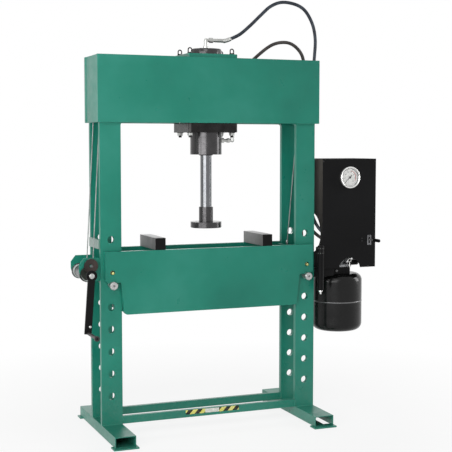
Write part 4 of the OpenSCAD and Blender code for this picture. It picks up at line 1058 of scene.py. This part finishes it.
FILTER_X, FILTER_Y, FILTER_LOW = 617.3, -152, 704
TUBE = 0.0178
bm = bmesh.new()
rounded_box(bm, P(FILTER_X - 8, -150, 913), P(636, -106, 939), 0.003)
lathe(bm, [(0.0, 0.704), (TUBE - 0.003, 0.704), (TUBE, 0.707), (TUBE, 0.898), (0.0184, 0.900),
           (0.0186, 0.902), (0.0186, 0.916), (0.0184, 0.918), (TUBE, 0.920), (TUBE, 0.925), (0.0184, 0.927),
           (0.0186, 0.929), (0.0186, 0.942), (0.0184, 0.944), (0.0150, 0.9495), (0.0, 0.950)],
      P(FILTER_X, FILTER_Y, 0), UP, 48)
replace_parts(finish_mesh("filter_tube", bm, "black_paint", smooth=35), "filter")
bm = bmesh.new()
for a in around(9):
    for z in (908, 934):
        lathe(bm, [(0.0, 0.0), (0.0026, 0.0), (0.0026, 0.0006), (0.0016, 0.0011), (0.0, 0.0012)],
              P(FILTER_X + 17.9 * math.cos(a), FILTER_Y + 17.9 * math.sin(a), z),
              (math.cos(a), math.sin(a), 0), 12)
finish_mesh("filter_collar_dots", bm, "black_paint", smooth=30, look="dull_dot")
bm = bmesh.new()
lathe(bm, [(0.0, -0.003), (0.0112, -0.003), (0.0118, 0.0), (0.0118, 0.0060), (0.0104, 0.0074),
           (0.0056, 0.0080), (0.0056, 0.0190), (0.0044, 0.0205), (0.0, 0.0205)],
      P(FILTER_X, FILTER_Y, FILTER_LOW), DOWN, 28)
finish_mesh("filter_plug", bm, "zinc", smooth=30, look="polished")


# -------- light and floor

def seen_rays(tree):
    """1 for camera, glossy and transmission rays, and 0 for the others."""
    path = tree.nodes.new("ShaderNodeLightPath")
    value = path.outputs["Is Camera Ray"]
    for other in ("Is Glossy Ray", "Is Transmission Ray"):
        joined = tree.nodes.new("ShaderNodeMath")
        joined.operation = "MAXIMUM"
        tree.links.new(value, joined.inputs[0])
        tree.links.new(path.outputs[other], joined.inputs[1])
        value = joined.outputs[0]
    return value


AMBIENT = 0.26
world = bpy.data.worlds.new("studio")
bpy.context.scene.world = world
world.use_nodes = True
tree = world.node_tree
tree.nodes.clear()
pick = tree.nodes.new("ShaderNodeMixShader")
tree.links.new(seen_rays(tree), pick.inputs[0])
for place, strength in ((1, AMBIENT), (2, 1.0)):
    white = tree.nodes.new("ShaderNodeBackground")
    white.inputs["Color"].default_value = (1, 1, 1, 1)
    white.inputs["Strength"].default_value = strength
    tree.links.new(white.outputs[0], pick.inputs[place])
tree.links.new(pick.outputs[0], tree.nodes.new("ShaderNodeOutputWorld").inputs["Surface"])


def lamp(name, place, target, size, power):
    """A softbox at place, turned towards target."""
    data = bpy.data.lights.new(name, "AREA")
    data.shape = "RECTANGLE"
    data.size, data.size_y = size
    data.energy = power
    obj = bpy.data.objects.new(name, data)
    obj.location = place
    obj.rotation_euler = (Vector(target) - Vector(place)).to_track_quat("-Z", "Y").to_euler()
    bpy.context.scene.collection.objects.link(obj)


lamp("front_softbox", (-1.9, -4.4, 4.0), (0, 0, 1.1), (2.2, 1.8), 40)
lamp("band_softbox", (-3.4, -4.2, 1.5), (0, 0, 1.2), (3.4, 1.9), 100)
lamp("left_softbox", (-4.1, -1.7, 1.9), (0, 0, 1.1), (1.0, 2.6), 42)
lamp("right_softbox", (4.2, -0.6, 1.7), (0, 0, 1.2), (1.2, 2.4), 60)
lamp("rear_softbox", (0.6, 4.4, 3.2), (0, 0, 1.1), (2.4, 1.6), 45)

bm = bmesh.new()
bmesh.ops.create_grid(bm, x_segments=8, y_segments=8, size=12)
floor_mesh = bpy.data.meshes.new("floor")
bm.to_mesh(floor_mesh)
bm.free()
floor = bpy.data.objects.new("floor", floor_mesh)
floor.location.z = FLOOR_Z
bpy.context.scene.collection.objects.link(floor)
g = Graph("floor_white")
g.set(Base_Color=g.mix(g.grey(g.noise(3, 2), 0.0, 0.4), srgb(246, 246, 246), srgb(240, 240, 240)),
      Roughness=0.8, Specular_IOR_Level=0.2)
# Towards its edges, and in part everywhere, the floor shows the same white as the world
level = g.node("ShaderNodeMapping", Vector=g.coords, Scale=(1, 1, 0)).outputs[0]
far = g.node("ShaderNodeVectorMath", Vector=level)
far.operation = "LENGTH"
white = g.node("ShaderNodeEmission", Color=(1, 1, 1, 1), Strength=1.0)
shown = g.math("MULTIPLY", seen_rays(g.tree), g.grey(far.outputs["Value"], 0.84, 1.0, 0.9, 2.4))
mixed = g.node("ShaderNodeMixShader", Fac=shown)
g.tree.links.new(g.shader.outputs[0], mixed.inputs[1])
g.tree.links.new(white.outputs[0], mixed.inputs[2])
g.tree.links.new(mixed.outputs[0], g.tree.nodes["Material Output"].inputs["Surface"])
floor_mesh.materials.append(g.mat)
